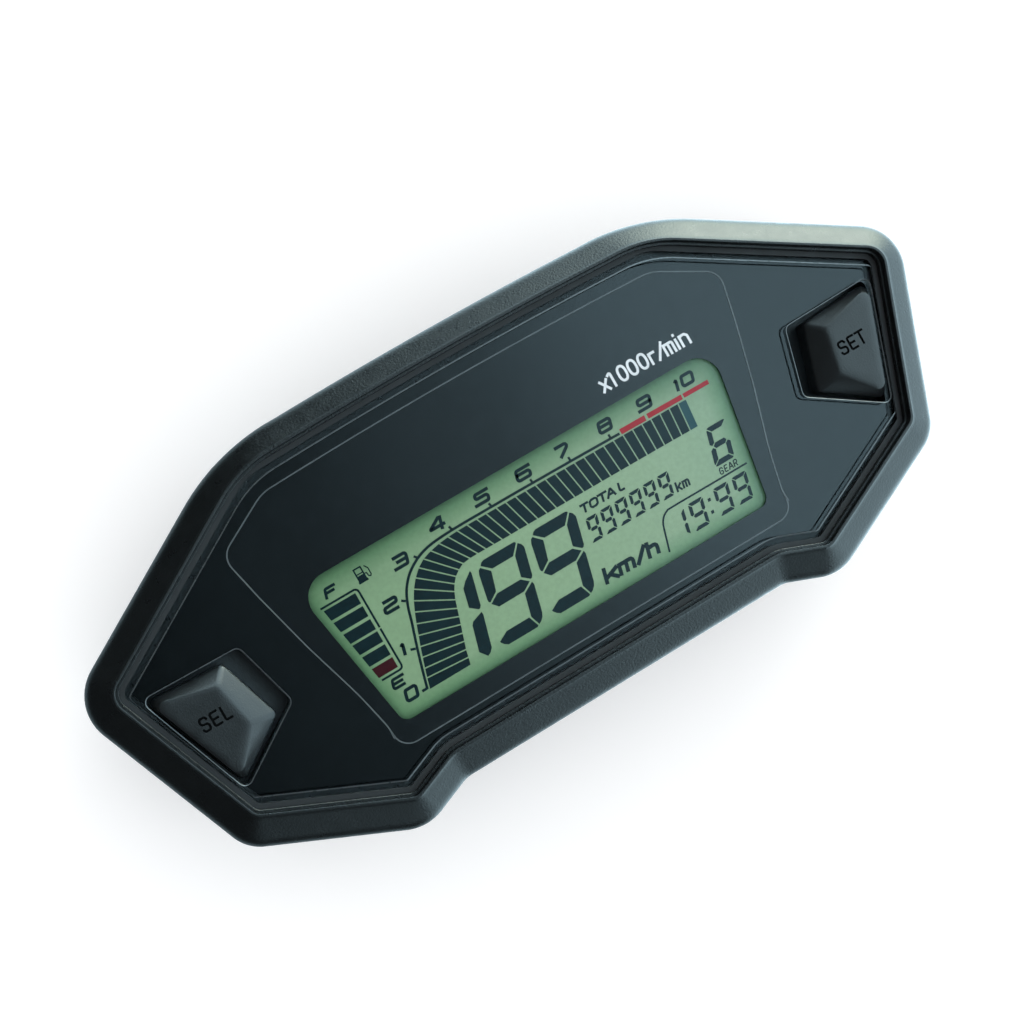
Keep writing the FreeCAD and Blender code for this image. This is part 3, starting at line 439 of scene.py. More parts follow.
def map_range(tree, value, source, target=(0.0, 1.0), interpolation="LINEAR"):
    node = tree.nodes.new("ShaderNodeMapRange")
    node.interpolation_type = interpolation
    for socket, number in zip(node.inputs, (value, *source, *target)):
        feed(tree, socket, number)
    return node.outputs[0]


def mix_color(tree, factor, first, second, blend_type="MIX"):
    node = tree.nodes.new("ShaderNodeMix")
    node.data_type = "RGBA"
    node.blend_type = blend_type
    for index, value in ((0, factor), (6, first), (7, second)):
        feed(tree, node.inputs[index], value)
    return node.outputs[2]


def bump(tree, height, strength, distance):
    node = tree.nodes.new("ShaderNodeBump")
    node.inputs["Strength"].default_value = strength
    node.inputs["Distance"].default_value = distance
    tree.links.new(height, node.inputs["Height"])
    return node.outputs["Normal"]


# ------------------------------------------------------------------ materials
def new_material(name):
    material = bpy.data.materials.new(name)
    material.use_nodes = True
    tree = material.node_tree
    return material, tree, tree.nodes["Principled BSDF"]


def plastic(name, color, rough, grain=0.0, grain_scale=2600.0, drift=0.15, spec=0.5):
    """Plastic with drifting colour and roughness; grain is the depth of its texture in metres."""
    material, tree, bsdf = new_material(name)
    dark = tuple(c * (1 - drift) for c in color)
    light = tuple(c * (1 + drift) for c in color)
    tint = ramp(tree, noise(tree, scale=180.0, detail=4.0), [(0.3, dark), (0.7, light)])
    tree.links.new(tint, bsdf.inputs["Base Color"])
    roughness = map_range(tree, noise(tree, scale=420.0, detail=3.0),
                          source=(0.3, 0.7), target=(rough - 0.04, rough + 0.05))
    tree.links.new(roughness, bsdf.inputs["Roughness"])
    bsdf.inputs["Specular IOR Level"].default_value = spec
    if grain:
        texture = noise(tree, scale=grain_scale, detail=3.0, roughness=0.6)
        normal = bump(tree, texture, strength=1.0, distance=grain)
        tree.links.new(normal, bsdf.inputs["Normal"])
    return material


def metal(name, color, rough):
    scale = 900.0
    material, tree, bsdf = new_material(name)
    bsdf.inputs["Metallic"].default_value = 1.0
    dark = tuple(c * 0.85 for c in color)
    tint = ramp(tree, noise(tree, scale=scale, detail=3.0), [(0.3, dark), (0.7, color)])
    tree.links.new(tint, bsdf.inputs["Base Color"])
    roughness = map_range(tree, noise(tree, scale=scale * 1.7, detail=4.0),
                          source=(0.3, 0.7), target=(rough - 0.06, rough + 0.1))
    tree.links.new(roughness, bsdf.inputs["Roughness"])
    fine = noise(tree, scale=scale * 3, detail=2.0)
    normal = bump(tree, fine, strength=0.4, distance=0.00001)
    tree.links.new(normal, bsdf.inputs["Normal"])
    return material


def clear(name, tint, gloss, rough):
    """Clear sheet without refraction: tinted see-through plus a front reflection scaled by gloss."""
    material = bpy.data.materials.new(name)
    material.use_nodes = True
    tree = material.node_tree
    tree.nodes.clear()
    output = tree.nodes.new("ShaderNodeOutputMaterial")
    through = tree.nodes.new("ShaderNodeBsdfTransparent")
    through.inputs["Color"].default_value = (*tint, 1)
    reflection = tree.nodes.new("ShaderNodeBsdfAnisotropic")
    reflection.distribution = "GGX"
    reflection.inputs["Color"].default_value = (1, 1, 1, 1)
    roughness = map_range(tree, noise(tree, scale=60.0, detail=3.0),
                          source=(0.3, 0.7), target=(rough * 0.8, rough * 1.25))
    tree.links.new(roughness, reflection.inputs["Roughness"])
    fresnel = tree.nodes.new("ShaderNodeFresnel")
    fresnel.inputs["IOR"].default_value = 1.49
    share = math_node(tree, "MULTIPLY", fresnel.outputs[0], gloss)
    geometry = tree.nodes.new("ShaderNodeNewGeometry")
    front = math_node(tree, "SUBTRACT", 1.0, geometry.outputs["Backfacing"])
    mix = tree.nodes.new("ShaderNodeMixShader")
    tree.links.new(math_node(tree, "MULTIPLY", share, front), mix.inputs[0])
    tree.links.new(through.outputs[0], mix.inputs[1])
    tree.links.new(reflection.outputs[0], mix.inputs[2])
    tree.links.new(mix.outputs[0], output.inputs["Surface"])
    return material


# LCD window: tapers towards the bottom
WINDOW_TOP = 9.4
WINDOW_BOTTOM = -19.6
WINDOW_HALF_WIDTH = 42.3
WINDOW_TAPER = 4.8


def lcd_ground(name):
    """Reflective green LCD ground, finely mottled, with painted shade: darker towards the left, and
    darker near the edges and along the top of the window, where the mask shades it.
    """
    material, tree, bsdf = new_material(name)
    place = position(tree)

    def inside(normal_x, normal_y, limit):
        """Distance inside the line whose outward normal and distance from the origin are given."""
        reach = vector_math(tree, "DOT_PRODUCT", place, (normal_x, normal_y, 0))
        return math_node(tree, "SUBTRACT", limit * MM, reach)

    height = WINDOW_TOP - WINDOW_BOTTOM
    side = math.hypot(height, WINDOW_TAPER)
    side_limit = (WINDOW_HALF_WIDTH * height - WINDOW_TOP * WINDOW_TAPER) / side
    depth = inside(0, 1, WINDOW_TOP)
    for edge in (inside(0, -1, -WINDOW_BOTTOM),
                 inside(height / side, -WINDOW_TAPER / side, side_limit),
                 inside(-height / side, -WINDOW_TAPER / side, side_limit)):
        depth = math_node(tree, "SMOOTH_MIN", depth, edge, 0.003)
    axes = tree.nodes.new("ShaderNodeSeparateXYZ")
    tree.links.new(place, axes.inputs[0])

    # across the window the ground is darker towards the left and at the right-hand end: painted
    # shade
    color = ramp(tree, map_range(tree, axes.outputs["X"], source=(-0.043, 0.043)),
                 [(0.0, (0.23, 0.36, 0.20)), (0.45, (0.285, 0.42, 0.25)),
                  (0.8, (0.30, 0.425, 0.275)), (1.0, (0.26, 0.39, 0.26))])
    # painted shadow of the mask, darkening the ground near the window's edges
    mask_shadow_paint = ramp(tree, map_range(tree, depth, source=(-0.0005, 0.0042)),
                      [(0.0, (0.28, 0.44, 0.38)), (0.4, (0.64, 0.78, 0.70)), (1.0, (1.0,) * 3)])
    mottle = ramp(tree, noise(tree, scale=1400.0, detail=3.0),
                  [(0.35, (0.95,) * 3), (0.65, (1.03,) * 3)])
    # painted shade, darker towards the top of the window
    top_shadow_paint = ramp(tree, map_range(tree, axes.outputs["Y"], source=(0.0, 0.0094)),
                     [(0.0, (1.0,) * 3), (1.0, (0.74, 0.78, 0.76))])
    for layer in (mask_shadow_paint, top_shadow_paint, mottle):
        color = mix_color(tree, 1.0, color, layer, blend_type="MULTIPLY")
    tree.links.new(color, bsdf.inputs["Base Color"])
    bsdf.inputs["Roughness"].default_value = 0.12
    bsdf.inputs["Specular IOR Level"].default_value = 0.34
    return material


LCD_SHEEN = dict(rough=0.12, drift=0.1, spec=0.34)
PLASTICS = {
    "bezel_grain": dict(color=(0.0031, 0.0037, 0.0040), rough=0.30, grain=0.00006,
                        grain_scale=2500.0),
    "cover_grain": dict(color=(0.0105, 0.0113, 0.0118), rough=0.46, grain=0.00008,
                        grain_scale=2500.0),
    "black_rubber": dict(color=(0.012, 0.012, 0.013), rough=0.6, grain=0.00002,
                         grain_scale=3000.0),
    "well_satin": dict(color=(0.013, 0.022, 0.027), rough=0.38, grain=0.00003,
                       grain_scale=3000.0, spec=0.6),
    "key_rubber": dict(color=(0.0055, 0.0066, 0.0074), rough=0.36, grain=0.00003,
                       grain_scale=3000.0, spec=0.55),
    "mask_print": dict(color=(0.0038, 0.0049, 0.0055), rough=0.10, spec=0.58),
    "lens_print": dict(color=(0.0022, 0.003, 0.0034), rough=0.10, spec=0.58),
    "white_plastic": dict(color=(0.75, 0.75, 0.72), rough=0.45),
    "white_film": dict(color=(0.85, 0.85, 0.85), rough=0.35),
    "chip_epoxy": dict(color=(0.02, 0.02, 0.02), rough=0.5, grain=0.00001),
    "black_nylon": dict(color=(0.03, 0.03, 0.033), rough=0.38, grain=0.000015),
    "vent_plastic": dict(color=(0.07, 0.07, 0.075), rough=0.45, grain=0.00002),
    "solder_mask": dict(color=(0.01, 0.11, 0.045), rough=0.3, drift=0.3),
    "ceramic_parts": dict(color=(0.3, 0.23, 0.15), rough=0.4, drift=0.4),
    "led_package": dict(color=(0.8, 0.76, 0.45), rough=0.3),
    "white_ink": dict(color=(0.85, 0.87, 0.88), rough=0.12),
    "grey_ink": dict(color=(0.11, 0.13, 0.135), rough=0.12),
    # pale colour: painted sheen on the lens's bevelled edges
    "lens_cut_edge": dict(color=(0.046, 0.058, 0.064), rough=0.28, spec=0.9),
    # darker and duller than the key rubber: painted shade in the sunk legend's grooves
    "legend_groove": dict(color=(0.003, 0.0036, 0.004), rough=0.6, spec=0.05),
    "lcd_dark": dict(color=(0.004, 0.016, 0.019), **LCD_SHEEN),
    "lcd_dim": dict(color=(0.02, 0.07, 0.08), **LCD_SHEEN),
    "lcd_red": dict(color=(0.36, 0.022, 0.032), **LCD_SHEEN),
    "lcd_maroon": dict(color=(0.045, 0.006, 0.009), **LCD_SHEEN),
}
METALS = {
    "zinc_steel": dict(color=(0.62, 0.62, 0.64), rough=0.32),
    "spring_steel": dict(color=(0.5, 0.5, 0.5), rough=0.3),
    "can_metal": dict(color=(0.8, 0.8, 0.82), rough=0.28),
    "turned_brass": dict(color=(0.83, 0.62, 0.3), rough=0.26),
    "pin_metal": dict(color=(0.85, 0.74, 0.42), rough=0.22),
}
CLEARS = {
    # the sheen of the lens is carried by the prints and the display right under it
    "lens_clear": dict(tint=(0.92, 0.94, 0.95), gloss=0.0, rough=0.015),
    "guide_clear": dict(tint=(0.95, 0.97, 0.97), gloss=1.0, rough=0.05),
}
MATERIALS = {}
for build, looks in ((plastic, PLASTICS), (metal, METALS), (clear, CLEARS)):
    for name, look in looks.items():
        MATERIALS[name] = build(name, **look)
MATERIALS["lcd_ground"] = lcd_ground("lcd_ground")

PIECES_OF = {
    "bezel_grain": ["front_bezel"],
    "cover_grain": ["rear_cover"],
    "lens_clear": ["lens"],
    "mask_print": ["dial_mask"],
    "lcd_ground": ["lcd_front_polarizer", "lcd_rear_polarizer"],
    "guide_clear": ["lcd_front_glass", "lcd_rear_glass", "light_guide"],
    "black_rubber": ["lens_gasket", "zebra_strip_upper", "zebra_strip_lower", "connector_seal",
                     "sel_button_seal", "set_button_seal", "housing_seal"],
    "white_plastic": ["lcd_holder", "indicator_light_box"],
    "white_film": ["diffuser_film", "reflector_film"],
    "led_package": ["backlight_leds", "indicator_leds"],
    "solder_mask": ["main_pcb"],
    "chip_epoxy": ["microcontroller", "lcd_driver_chip", "voltage_regulator"],
    "can_metal": ["capacitors", "quartz_crystal"],
    "ceramic_parts": ["smd_passives"],
    "black_nylon": ["connector_header", "sel_switch_body", "set_switch_body",
                    "sel_switch_plunger", "set_switch_plunger"],
    "pin_metal": ["connector_pins"],
    "key_rubber": ["sel_button", "set_button"],
    "spring_steel": ["sel_button_clip", "set_button_clip"],
    "zinc_steel": ["cover_screws", "pcb_screws"],
    "turned_brass": ["mount_inserts"],
    "vent_plastic": ["vent_plug"],
}
MATERIAL_OF = {piece: name for name, pieces in PIECES_OF.items() for piece in pieces}
for piece, ob in nodes.items():
    ob.data.materials.clear()
    ob.data.materials.append(MATERIALS[MATERIAL_OF[piece]])


# ------------------------------------------------------------------ bezel
def quadratic_curve(start, control, end, steps, first=0):
    for i in range(first, steps + 1):
        t = i / steps
        yield start * (1 - t) ** 2 + control * 2 * t * (1 - t) + end * t * t


def build_bezel_shell():
    rim, slope_end = body(-0.02), lip(0.55)
    profile = [(body(-0.5), 22.0), (body(-0.14), 22.08), (rim, 22.4), (rim, 28.0), (rim, 33.6)]
    # rounded shoulder, then the broad slope up to the lip: (share of the way in, height)
    slope_start = Vector((0.34, 37.55))
    curve = list(quadratic_curve(Vector((0.0, 34.4)), Vector((0.0, 36.35)), slope_start, 10))
    curve += quadratic_curve(slope_start, Vector((0.66, 38.68)), Vector((0.955, 39.66)), 6, 1)
    curve += [Vector((0.975, 39.8)), Vector((0.99, 39.92))]
    profile += [(between(rim, slope_end, q.x), q.y) for q in curve]
    # over the lip and down inside it to the ledge: (lip offset, height)
    profile += [(lip(offset), z) for offset, z in (
        (0.5, 39.985), (0.42, LIP_TOP), (0.16, LIP_TOP), (0.05, 39.96), (0.0, 39.86),
        (0.0, 38.8), (-0.05, 38.7), (-0.42, 38.7), (-0.5, 38.62), (-0.5, 36.2),
        (-2.5, 36.2), (-2.5, 34.2))]
    profile += [(body(-2.5), 34.2), (body(-2.5), 22.0)]
    bm = bmesh.new()
    closed_ring(bm, profile)
    shell = link_mesh("bezel_shell", bm, "bezel_grain", smooth=34)
    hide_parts("front_bezel")


def build_bezel_wells():
    bm = bmesh.new()
    for side in (1, -1):
        cup(bm, outer=well(side, WELL_WALL), inner=well(side), hole=stem_circle(side, 3.06),
            bottom=30.0, floor=31.2, top=36.12)
    link_mesh("bezel_wells", bm, "well_satin", smooth=34)


build_bezel_shell()
build_bezel_wells()

# ------------------------------------------------------------------ lens
LENS_INSET = 1.5  # from the lip to the lens edge
# bevel width of each side: crown, upper, right, lower, step, bottom
LENS_BEVELS = (1.3, 1.3, 0.42, 1.25, 1.3, 1.3)
# (share of the bevel, height)
LENS_EDGE = [(0.0, LENS_BOTTOM), (0.0, 37.2), (0.02, 37.36), (0.09, 37.52), (0.22, 37.68),
             (0.42, 37.86), (0.64, 38.02), (0.82, 38.13), (0.93, 38.18), (1.0, LENS_TOP)]
# (outward offset from the well, height)
LENS_HOLE_EDGE = [(0.0, LENS_BOTTOM), (0.0, 38.0), (0.03, 38.1), (0.09, 38.17), (0.2, LENS_TOP)]


def lens_loop(share):
    """The lens edge moved in by a share of each side's bevel width."""
    right = [Vector(p) for p in offset_corners(LIP_CORNERS, CORNER_MITRES, -LENS_INSET)]
    ends = [Vector((-right[0].x, right[0].y))] + right + [Vector((-right[-1].x, right[-1].y))]
    lines = []
    for start, end, bevel in zip(ends, ends[1:], LENS_BEVELS):
        inward = normal_towards(start, end, Vector((0.0, 0.0)))
        lines.append((start + inward * bevel * share, (end - start).normalized()))
    corners = []
    for (p, along), (q, other) in zip(lines, lines[1:]):
        cross = along.x * other.y - along.y * other.x
        reach = ((q.x - p.x) * other.y - (q.y - p.y) * other.x) / cross
        corners.append(tuple(p + along * reach))
    return crowned_loop(corners, offset_radii(LIP_RADII, -LENS_INSET - share * 1.2),
                        CROWN_RADIUS - LENS_INSET - share * 1.3)


def inside_any(x, y, loops):
    for loop in loops:
        hit = False
        for a, b in zip(loop, loop[1:] + loop[:1]):
            if (a.y > y) != (b.y > y) and x < a.x + (y - a.y) / (b.y - a.y) * (b.x - a.x):
                hit = not hit
        if hit:
            return True
    return False


def build_lens():
    stacks = [[(lens_loop(share), z) for share, z in LENS_EDGE]]
    for side in (1, -1):
        stacks.append([(well(side, offset), z) for offset, z in LENS_HOLE_EDGE])
    bm = bmesh.new()
    solid(bm, stacks)
    lens = link_mesh("lens_cover", bm, "lens_clear", smooth=40)
    # the cut edges round the sheet and its two key holes get an opaque material, paler and glossier
    # than the sheet: their shine is real reflection, their pale colour is painted sheen, as the
    # clear sheet itself reflects nothing
    lens.data.materials.append(MATERIALS["lens_cut_edge"])
    hole_rims = [well(side, 0.21) for side in (1, -1)]
    for face in lens.data.polygons:
        x, y, z = face.center / MM
        if z > 38.0 and 0.01 < abs(face.normal.z) < 0.9999:
            if z > 38.13 or inside_any(x, y, hole_rims):
                face.material_index = 1
    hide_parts("lens")


build_lens()

# ------------------------------------------------------------------ frame line and printed border
# Right-hand side of the frame line from the top down, in the artwork frame
FRAME_SIDE = [(38.1, 16.6), (49.1, 10.6), (47.2, 1.8), (44.4, -9.3), (41.1, -20.4),
              (39.4, -28.2), (40.1, -31.9)]
FRAME_RADII = [8.0, 3.2, 20.0, 60.0, 60.0, 8.0, 3.0]
FRAME_CROWN = 0.75
FRAME_TOP_STEPS = 24


def frame_loop():
    corners = [to_mask(p) for p in FRAME_SIDE + mirrored(FRAME_SIDE)]
    loop = round_loop(corners, FRAME_RADII + FRAME_RADII[::-1])
    start, end = loop[-1].copy(), loop[0].copy()
    for i in range(1, FRAME_TOP_STEPS):
        t = i / FRAME_TOP_STEPS
        rise = FRAME_CROWN * 4 * t * (1 - t)
        loop.append(Vector((start.x + (end.x - start.x) * t,
                            start.y + (end.y - start.y) * t + rise)))
    return loop


def build_frame_line(loop):
    bm = bmesh.new()
    # thin pale grey line along the inner edge of the border print
    stroke(bm, loop, 0.24, 36.194, 36.204, closed=True)
    link_mesh("mask_frame_line", bm, "grey_ink")


def build_border(loop):
    """Black print under the lens, outside the frame line and round the wells."""
    edges = [lip(-2.55), loop] + [well(side, 0.03) for side in (1, -1)]
    bm = bmesh.new()
    solid(bm, [[(edge, 36.15), (edge, 36.19)] for edge in edges])
    link_mesh("lens_border_print", bm, "lens_print")


dial_frame = frame_loop()
build_frame_line(dial_frame)
build_border(dial_frame)

# ------------------------------------------------------------------ lettering
# Each character is a list of strokes on a unit box: (points, closed)
GLYPHS = {
    "0": [([(0, 0), (0, 1), (1, 1), (1, 0)], True)],
    "1": [([(0.1, 0.84), (0.75, 1), (0.75, 0)], False)],
    "2": [([(0.05, 1), (1, 1), (1, 0.56), (0, 0.46), (0, 0), (1, 0)], False)],
    "3": [([(0.0, 1), (1, 1), (1, 0), (-0.02, 0)], False), ([(0.25, 0.52), (0.95, 0.52)], False)],
    "4": [([(0.72, 1.0), (0.0, 0.36), (0.0, 0.28), (1.1, 0.28)], False),
          ([(0.9, 1.0), (0.9, 0)], False)],
    "5": [([(1, 1), (0.05, 1), (0.05, 0.56), (1, 0.56), (1, 0), (0, 0)], False)],
    "6": [([(1, 1), (0, 1), (0, 0), (1, 0), (1, 0.56), (0.05, 0.56)], False)],
    "7": [([(-0.3, 1), (1, 1), (0.05, 0)], False)],
    "8": [([(0.03, 0), (0.03, 1), (0.97, 1), (0.97, 0)], True),
          ([(0.1, 0.54), (0.9, 0.54)], False)],
    "9": [([(0, 0), (1, 0), (1, 1), (0, 1), (0, 0.48), (0.95, 0.48)], False)],
    "S": [([(1, 0.84), (0.84, 1), (0.16, 1), (0, 0.86), (0, 0.66), (0.16, 0.54), (0.84, 0.48),
            (1, 0.36), (1, 0.14), (0.84, 0), (0.16, 0), (0, 0.16)], False)],
    "E": [([(1, 1), (0, 1), (0, 0), (1, 0)], False), ([(0.02, 0.5), (0.86, 0.5)], False)],
    "L": [([(0, 1), (0, 0), (1, 0)], False)],
    "T": [([(0, 1), (1, 1)], False), ([(0.5, 0.98), (0.5, 0)], False)],
    "F": [([(1, 1), (0, 1), (0, 0)], False), ([(0.02, 0.5), (0.86, 0.5)], False)],
    "O": [([(0, 0.18), (0, 0.82), (0.25, 1), (0.75, 1), (1, 0.82), (1, 0.18), (0.75, 0),
            (0.25, 0)], True)],
    "A": [([(0, 0), (0.45, 1), (0.55, 1), (1, 0)], False), ([(0.2, 0.32), (0.8, 0.32)], False)],
    "G": [([(1, 0.8), (0.75, 1), (0.25, 1), (0, 0.8), (0, 0.2), (0.25, 0), (0.8, 0), (1, 0.15),
            (1, 0.48), (0.55, 0.48)], False)],
    "R": [([(0, 0), (0, 1), (0.8, 1), (1, 0.85), (1, 0.6), (0.8, 0.45), (0.05, 0.45)], False),
          ([(0.5, 0.45), (1, 0)], False)],
    "k": [([(0, 1), (0, 0)], False), ([(1.0, 0.7), (0.1, 0.3)], False),
          ([(0.42, 0.42), (1.0, 0)], False)],
    "m": [([(0, 0.7), (0, 0)], False), ([(0.0, 0.7), (0.5, 0.7), (0.5, 0)], False),
          ([(0.5, 0.7), (1, 0.7), (1, 0)], False)],
    "h": [([(0, 1), (0, 0)], False), ([(0.0, 0.68), (1, 0.68), (1, 0)], False)],
    "/": [([(1, 1), (0, 0)], False)],
    "x": [([(0, 0.7), (1, 0)], False), ([(1, 0.7), (0, 0)], False)],
    "r": [([(0, 0.7), (0, 0)], False), ([(0, 0.6), (0.3, 0.7), (1, 0.7)], False)],
    "n": [([(0, 0.7), (0, 0)], False),
          ([(0.0, 0.6), (0.25, 0.7), (0.7, 0.7), (1, 0.55), (1, 0)], False)],
    "i": [([(0.5, 0.66), (0.5, 0)], False), ([(0.5, 1.0), (0.5, 0.97)], False)],
}
# squarish oval
GLYPHS["o"] = [([(0.5 - 0.5 * math.cos(a) * abs(math.cos(a)) ** -0.2,
                  0.5 + 0.5 * math.sin(a) * abs(math.sin(a)) ** -0.1)
                 for a in [math.radians(9 + 18 * i) for i in range(20)]], True)]


def glyph(draw, char, left, right, low, high, width, slant):
    """Draws a character in its outer box with draw(path, width, closed); slant leans it right."""
    rise = high - low - width
    run = right - left - width - slant * rise
    for points, closed in GLYPHS[char]:
        path = [Vector((left + width / 2 + x * run + slant * (y * rise),
                        low + width / 2 + y * rise)) for x, y in points]
        if not closed:
            overshoot = width * 0.46
            start = path[0] + (path[0] - path[1]).normalized() * overshoot
            end = path[-1] + (path[-1] - path[-2]).normalized() * overshoot
            path = [start] + path[1:-1] + [end]
        draw(soften(path, width * 0.6, closed), width, closed)


def word(draw, letters, low, high, width, slant):
    """letters: list of (character, left, right)."""
    for char, left, right in letters:
        glyph(draw, char, left, right, low, high, width, slant)


def build_unit_text():
    """White tachometer unit above the right of the scale."""
    bm = bmesh.new()
    strokes = itertools.count()

    def draw(path, width, closed):
        # crossing strokes differ a little in height, so that no two top faces share a plane
        top = 36.115 + 0.002 * (next(strokes) % 3)
        stroke(bm, path, width, 36.101, top, closed, to_mask)

    word(draw, [("x", 20.55, 22.3), ("1", 22.25, 23.6), ("o", 24.2, 26.1), ("o", 26.25, 28.15),
                ("o", 28.35, 30.25), ("r", 30.5, 31.9), ("/", 31.9, 33.85), ("m", 33.5, 35.65),
                ("i", 35.92, 36.42), ("n", 36.75, 38.65)],
         low=2.32, high=5.36, width=0.46, slant=0.0)
    link_mesh("mask_unit_text", bm, "white_ink")


build_unit_text()

# ------------------------------------------------------------------ LCD picture (artwork frame)
LCD_LOW, LCD_HIGH = 35.205, 35.225
dark, red, dim, maroon = [bmesh.new() for _ in range(4)]
lcd_strokes = itertools.count()


def lcd_polygon(bm, points):
    prism(bm, [to_lcd(p) for p in points], LCD_LOW, LCD_HIGH)


def lcd_line(path, width, closed=False):
    # crossing strokes differ a little in height, so that no two top faces share a plane
    top = LCD_HIGH + 0.002 * (next(lcd_strokes) % 4)
    stroke(dark, path, width, LCD_LOW, top, closed, to_lcd)


def smooth_path(path, steps=5):
    """Catmull-Rom curve through a path."""
    points = [Vector(p) for p in path]
    points = [points[0] * 2 - points[1]] + points + [points[-1] * 2 - points[-2]]
    out = []
    for i in range(1, len(points) - 2):
        p0, p1, p2, p3 = points[i - 1 : i + 3]
        for k in range(steps):
            t = k / steps
            out.append(0.5 * ((2 * p1) + (p2 - p0) * t
                              + (2 * p0 - 5 * p1 + 4 * p2 - p3) * t * t
                              + (3 * p1 - p0 - 3 * p2 + p3) * t ** 3))
    out.append(points[-2])
    return out


LIT_SEGMENTS = {"1": "bc", "6": "afgedc", "9": "abcdfg"}


def seven_segment(digit, x, y, width, height, thick, slant, gap):
    """Seven-segment digit with its lower left corner at x, y."""
    middle = height * 0.5
    bevel = thick * 0.30

    def flip(points):
        return [(px, height - py) for px, py in points]

    def mirror(points):
        return [(width - px, py) for px, py in points]

    top = [(gap + bevel, height), (width - gap - bevel, height),
           (width - gap * 0.6, height - bevel * 0.5),
           (width - thick - gap * 0.3, height - thick), (thick + gap * 0.3, height - thick),
           (gap * 0.6, height - bevel * 0.5)]
    upper_left = [(0, height - bevel - gap), (thick * 0.12, height - bevel * 0.6 - gap),
                  (thick, height - thick - gap * 0.8),
                  (thick, middle + thick * 0.5 + gap * 0.5),
                  (thick * 0.5, middle + gap * 0.9), (0, middle + thick * 0.35 + gap)]
    bar_left, bar_right = thick + gap * 0.6, width - thick - gap * 0.6
    shapes = {
        "a": top, "b": mirror(upper_left), "c": mirror(flip(upper_left)), "d": flip(top),
        "e": flip(upper_left), "f": upper_left,
        "g": [(thick * 0.5 + gap, middle), (bar_left, middle + thick * 0.5),
              (bar_right, middle + thick * 0.5), (width - thick * 0.5 - gap, middle),
              (bar_right, middle - thick * 0.5), (bar_left, middle - thick * 0.5)],
    }
    for key in LIT_SEGMENTS[digit]:
        lcd_polygon(dark, [(x + px + slant * py, y + py) for px, py in shapes[key]])


# Tachometer scale: rising curve, then a nearly level run
SCALE_CURVE = [(-30.6, -25.35), (-29.85, -22.65), (-28.7, -18.8), (-27.35, -14.7),
               (-26.5, -11.9), (-25.3, -9.4), (-23.5, -7.35), (-21.2, -5.9), (-19.4, -5.24),
               (-17.65, -4.9), (-15.0, -4.7), (-12.0, -4.62), (-8.0, -4.62)]
# tick ends: outer x, y, inner x, y
TICKS = [(-29.8, -18.42, -28.95, -18.72), (-27.05, -10.55, -26.4, -11.0),
         (-21.5, -5.2, -20.95, -5.85), (-13.8, -3.85, -13.6, -4.6), (-5.95, -3.88, -5.75, -4.6),
         (2.32, -3.9, 2.38, -4.6), (9.95, -3.92, 10.0, -4.7), (18.02, -4.05, 18.05, -4.8)]
# red zone blocks: left, right, upper y at the left and at the right
RED_BLOCKS = [(20.1, 25.1, -4.25, -4.3), (25.6, 32.6, -4.32, -4.42), (32.95, 38.05, -4.45, -4.52)]
# numerals: character, left, right, low, high
NUMERALS = [("0", -34.85, -31.75, -25.95, -23.55), ("1", -31.45, -30.1, -18.8, -16.5),
            ("2", -30.65, -27.25, -11.5, -9.1), ("3", -25.45, -22.05, -5.95, -3.55),
            ("4", -17.2, -13.85, -3.75, -1.4), ("5", -8.3, -4.75, -3.6, -1.25),
            ("6", 0.0, 3.55, -3.6, -1.3), ("7", 8.6, 11.75, -3.65, -1.3),
            ("8", 16.5, 19.95, -3.62, -1.28), ("9", 24.5, 27.95, -3.72, -1.32),
            ("1", 32.15, 33.5, -3.78, -1.5), ("0", 33.45, 36.6, -3.78, -1.5)]
# lines dividing the tachometer bars: outer x, y, inner x, y
BAR_DIVISIONS = [
    (-30.25, -25.75, -22.33, -25.75), (-29.75, -23.9, -22.0, -24.5),
    (-29.25, -22.33, -21.7, -23.17), (-28.67, -20.55, -21.25, -21.83),
    (-28.08, -18.83, -20.83, -20.5), (-27.42, -17.05, -20.35, -19.1),
    (-26.75, -15.2, -19.92, -17.8), (-26.0, -13.35, -19.5, -16.45),
    (-25.2, -11.65, -19.05, -15.05), (-24.2, -9.98, -18.5, -13.78),
    (-23.0, -8.5, -17.83, -12.67), (-21.7, -7.3, -17.0, -11.72),
    (-20.25, -6.42, -16.0, -11.0), (-18.5, -5.88, -14.85, -10.45),
    (-16.67, -5.52, -13.4, -10.28), (-14.8, -5.33, -11.83, -10.26),
    (-12.92, -5.24, -10.25, -10.28), (-10.97, -5.22, -8.65, -10.3),
    (-9.06, -5.22, -7.02, -10.32), (-7.2, -5.23, -5.31, -10.33),
    (-5.22, -5.24, -3.65, -10.33), (-3.33, -5.25, -1.87, -10.34),
    (-1.37, -5.26, 0.06, -10.35), (0.62, -5.27, 1.94, -10.36), (2.6, -5.29, 3.81, -10.37),
    (4.6, -5.3, 5.69, -10.38), (6.53, -5.32, 7.5, -10.39), (8.46, -5.34, 9.35, -10.4),
    (10.38, -5.36, 11.14, -10.41), (12.33, -5.38, 12.98, -10.42), (14.29, -5.4, 14.8, -10.43),
    (16.28, -5.42, 16.73, -10.45), (18.24, -5.44, 18.62, -10.46), (20.2, -5.46, 20.4, -10.47),
    (22.13, -5.48, 22.2, -10.49), (24.03, -5.5, 24.05, -10.51), (25.85, -5.52, 25.72, -10.53),
    (27.72, -5.54, 27.45, -10.55), (29.6, -5.56, 29.25, -10.58), (31.4, -5.58, 30.98, -10.6),
    (32.98, -5.62, 32.52, -10.62)]
BAR_HALF_GAP = 0.11


def inset_end(start, end, neighbour, gap):
    """start moved towards its neighbour until it is a gap clear of the line start-end."""
    normal = normal_towards(start, end, neighbour)
    along = (neighbour - start).normalized()
    return start + along * (gap / max(0.3, along.dot(normal)))


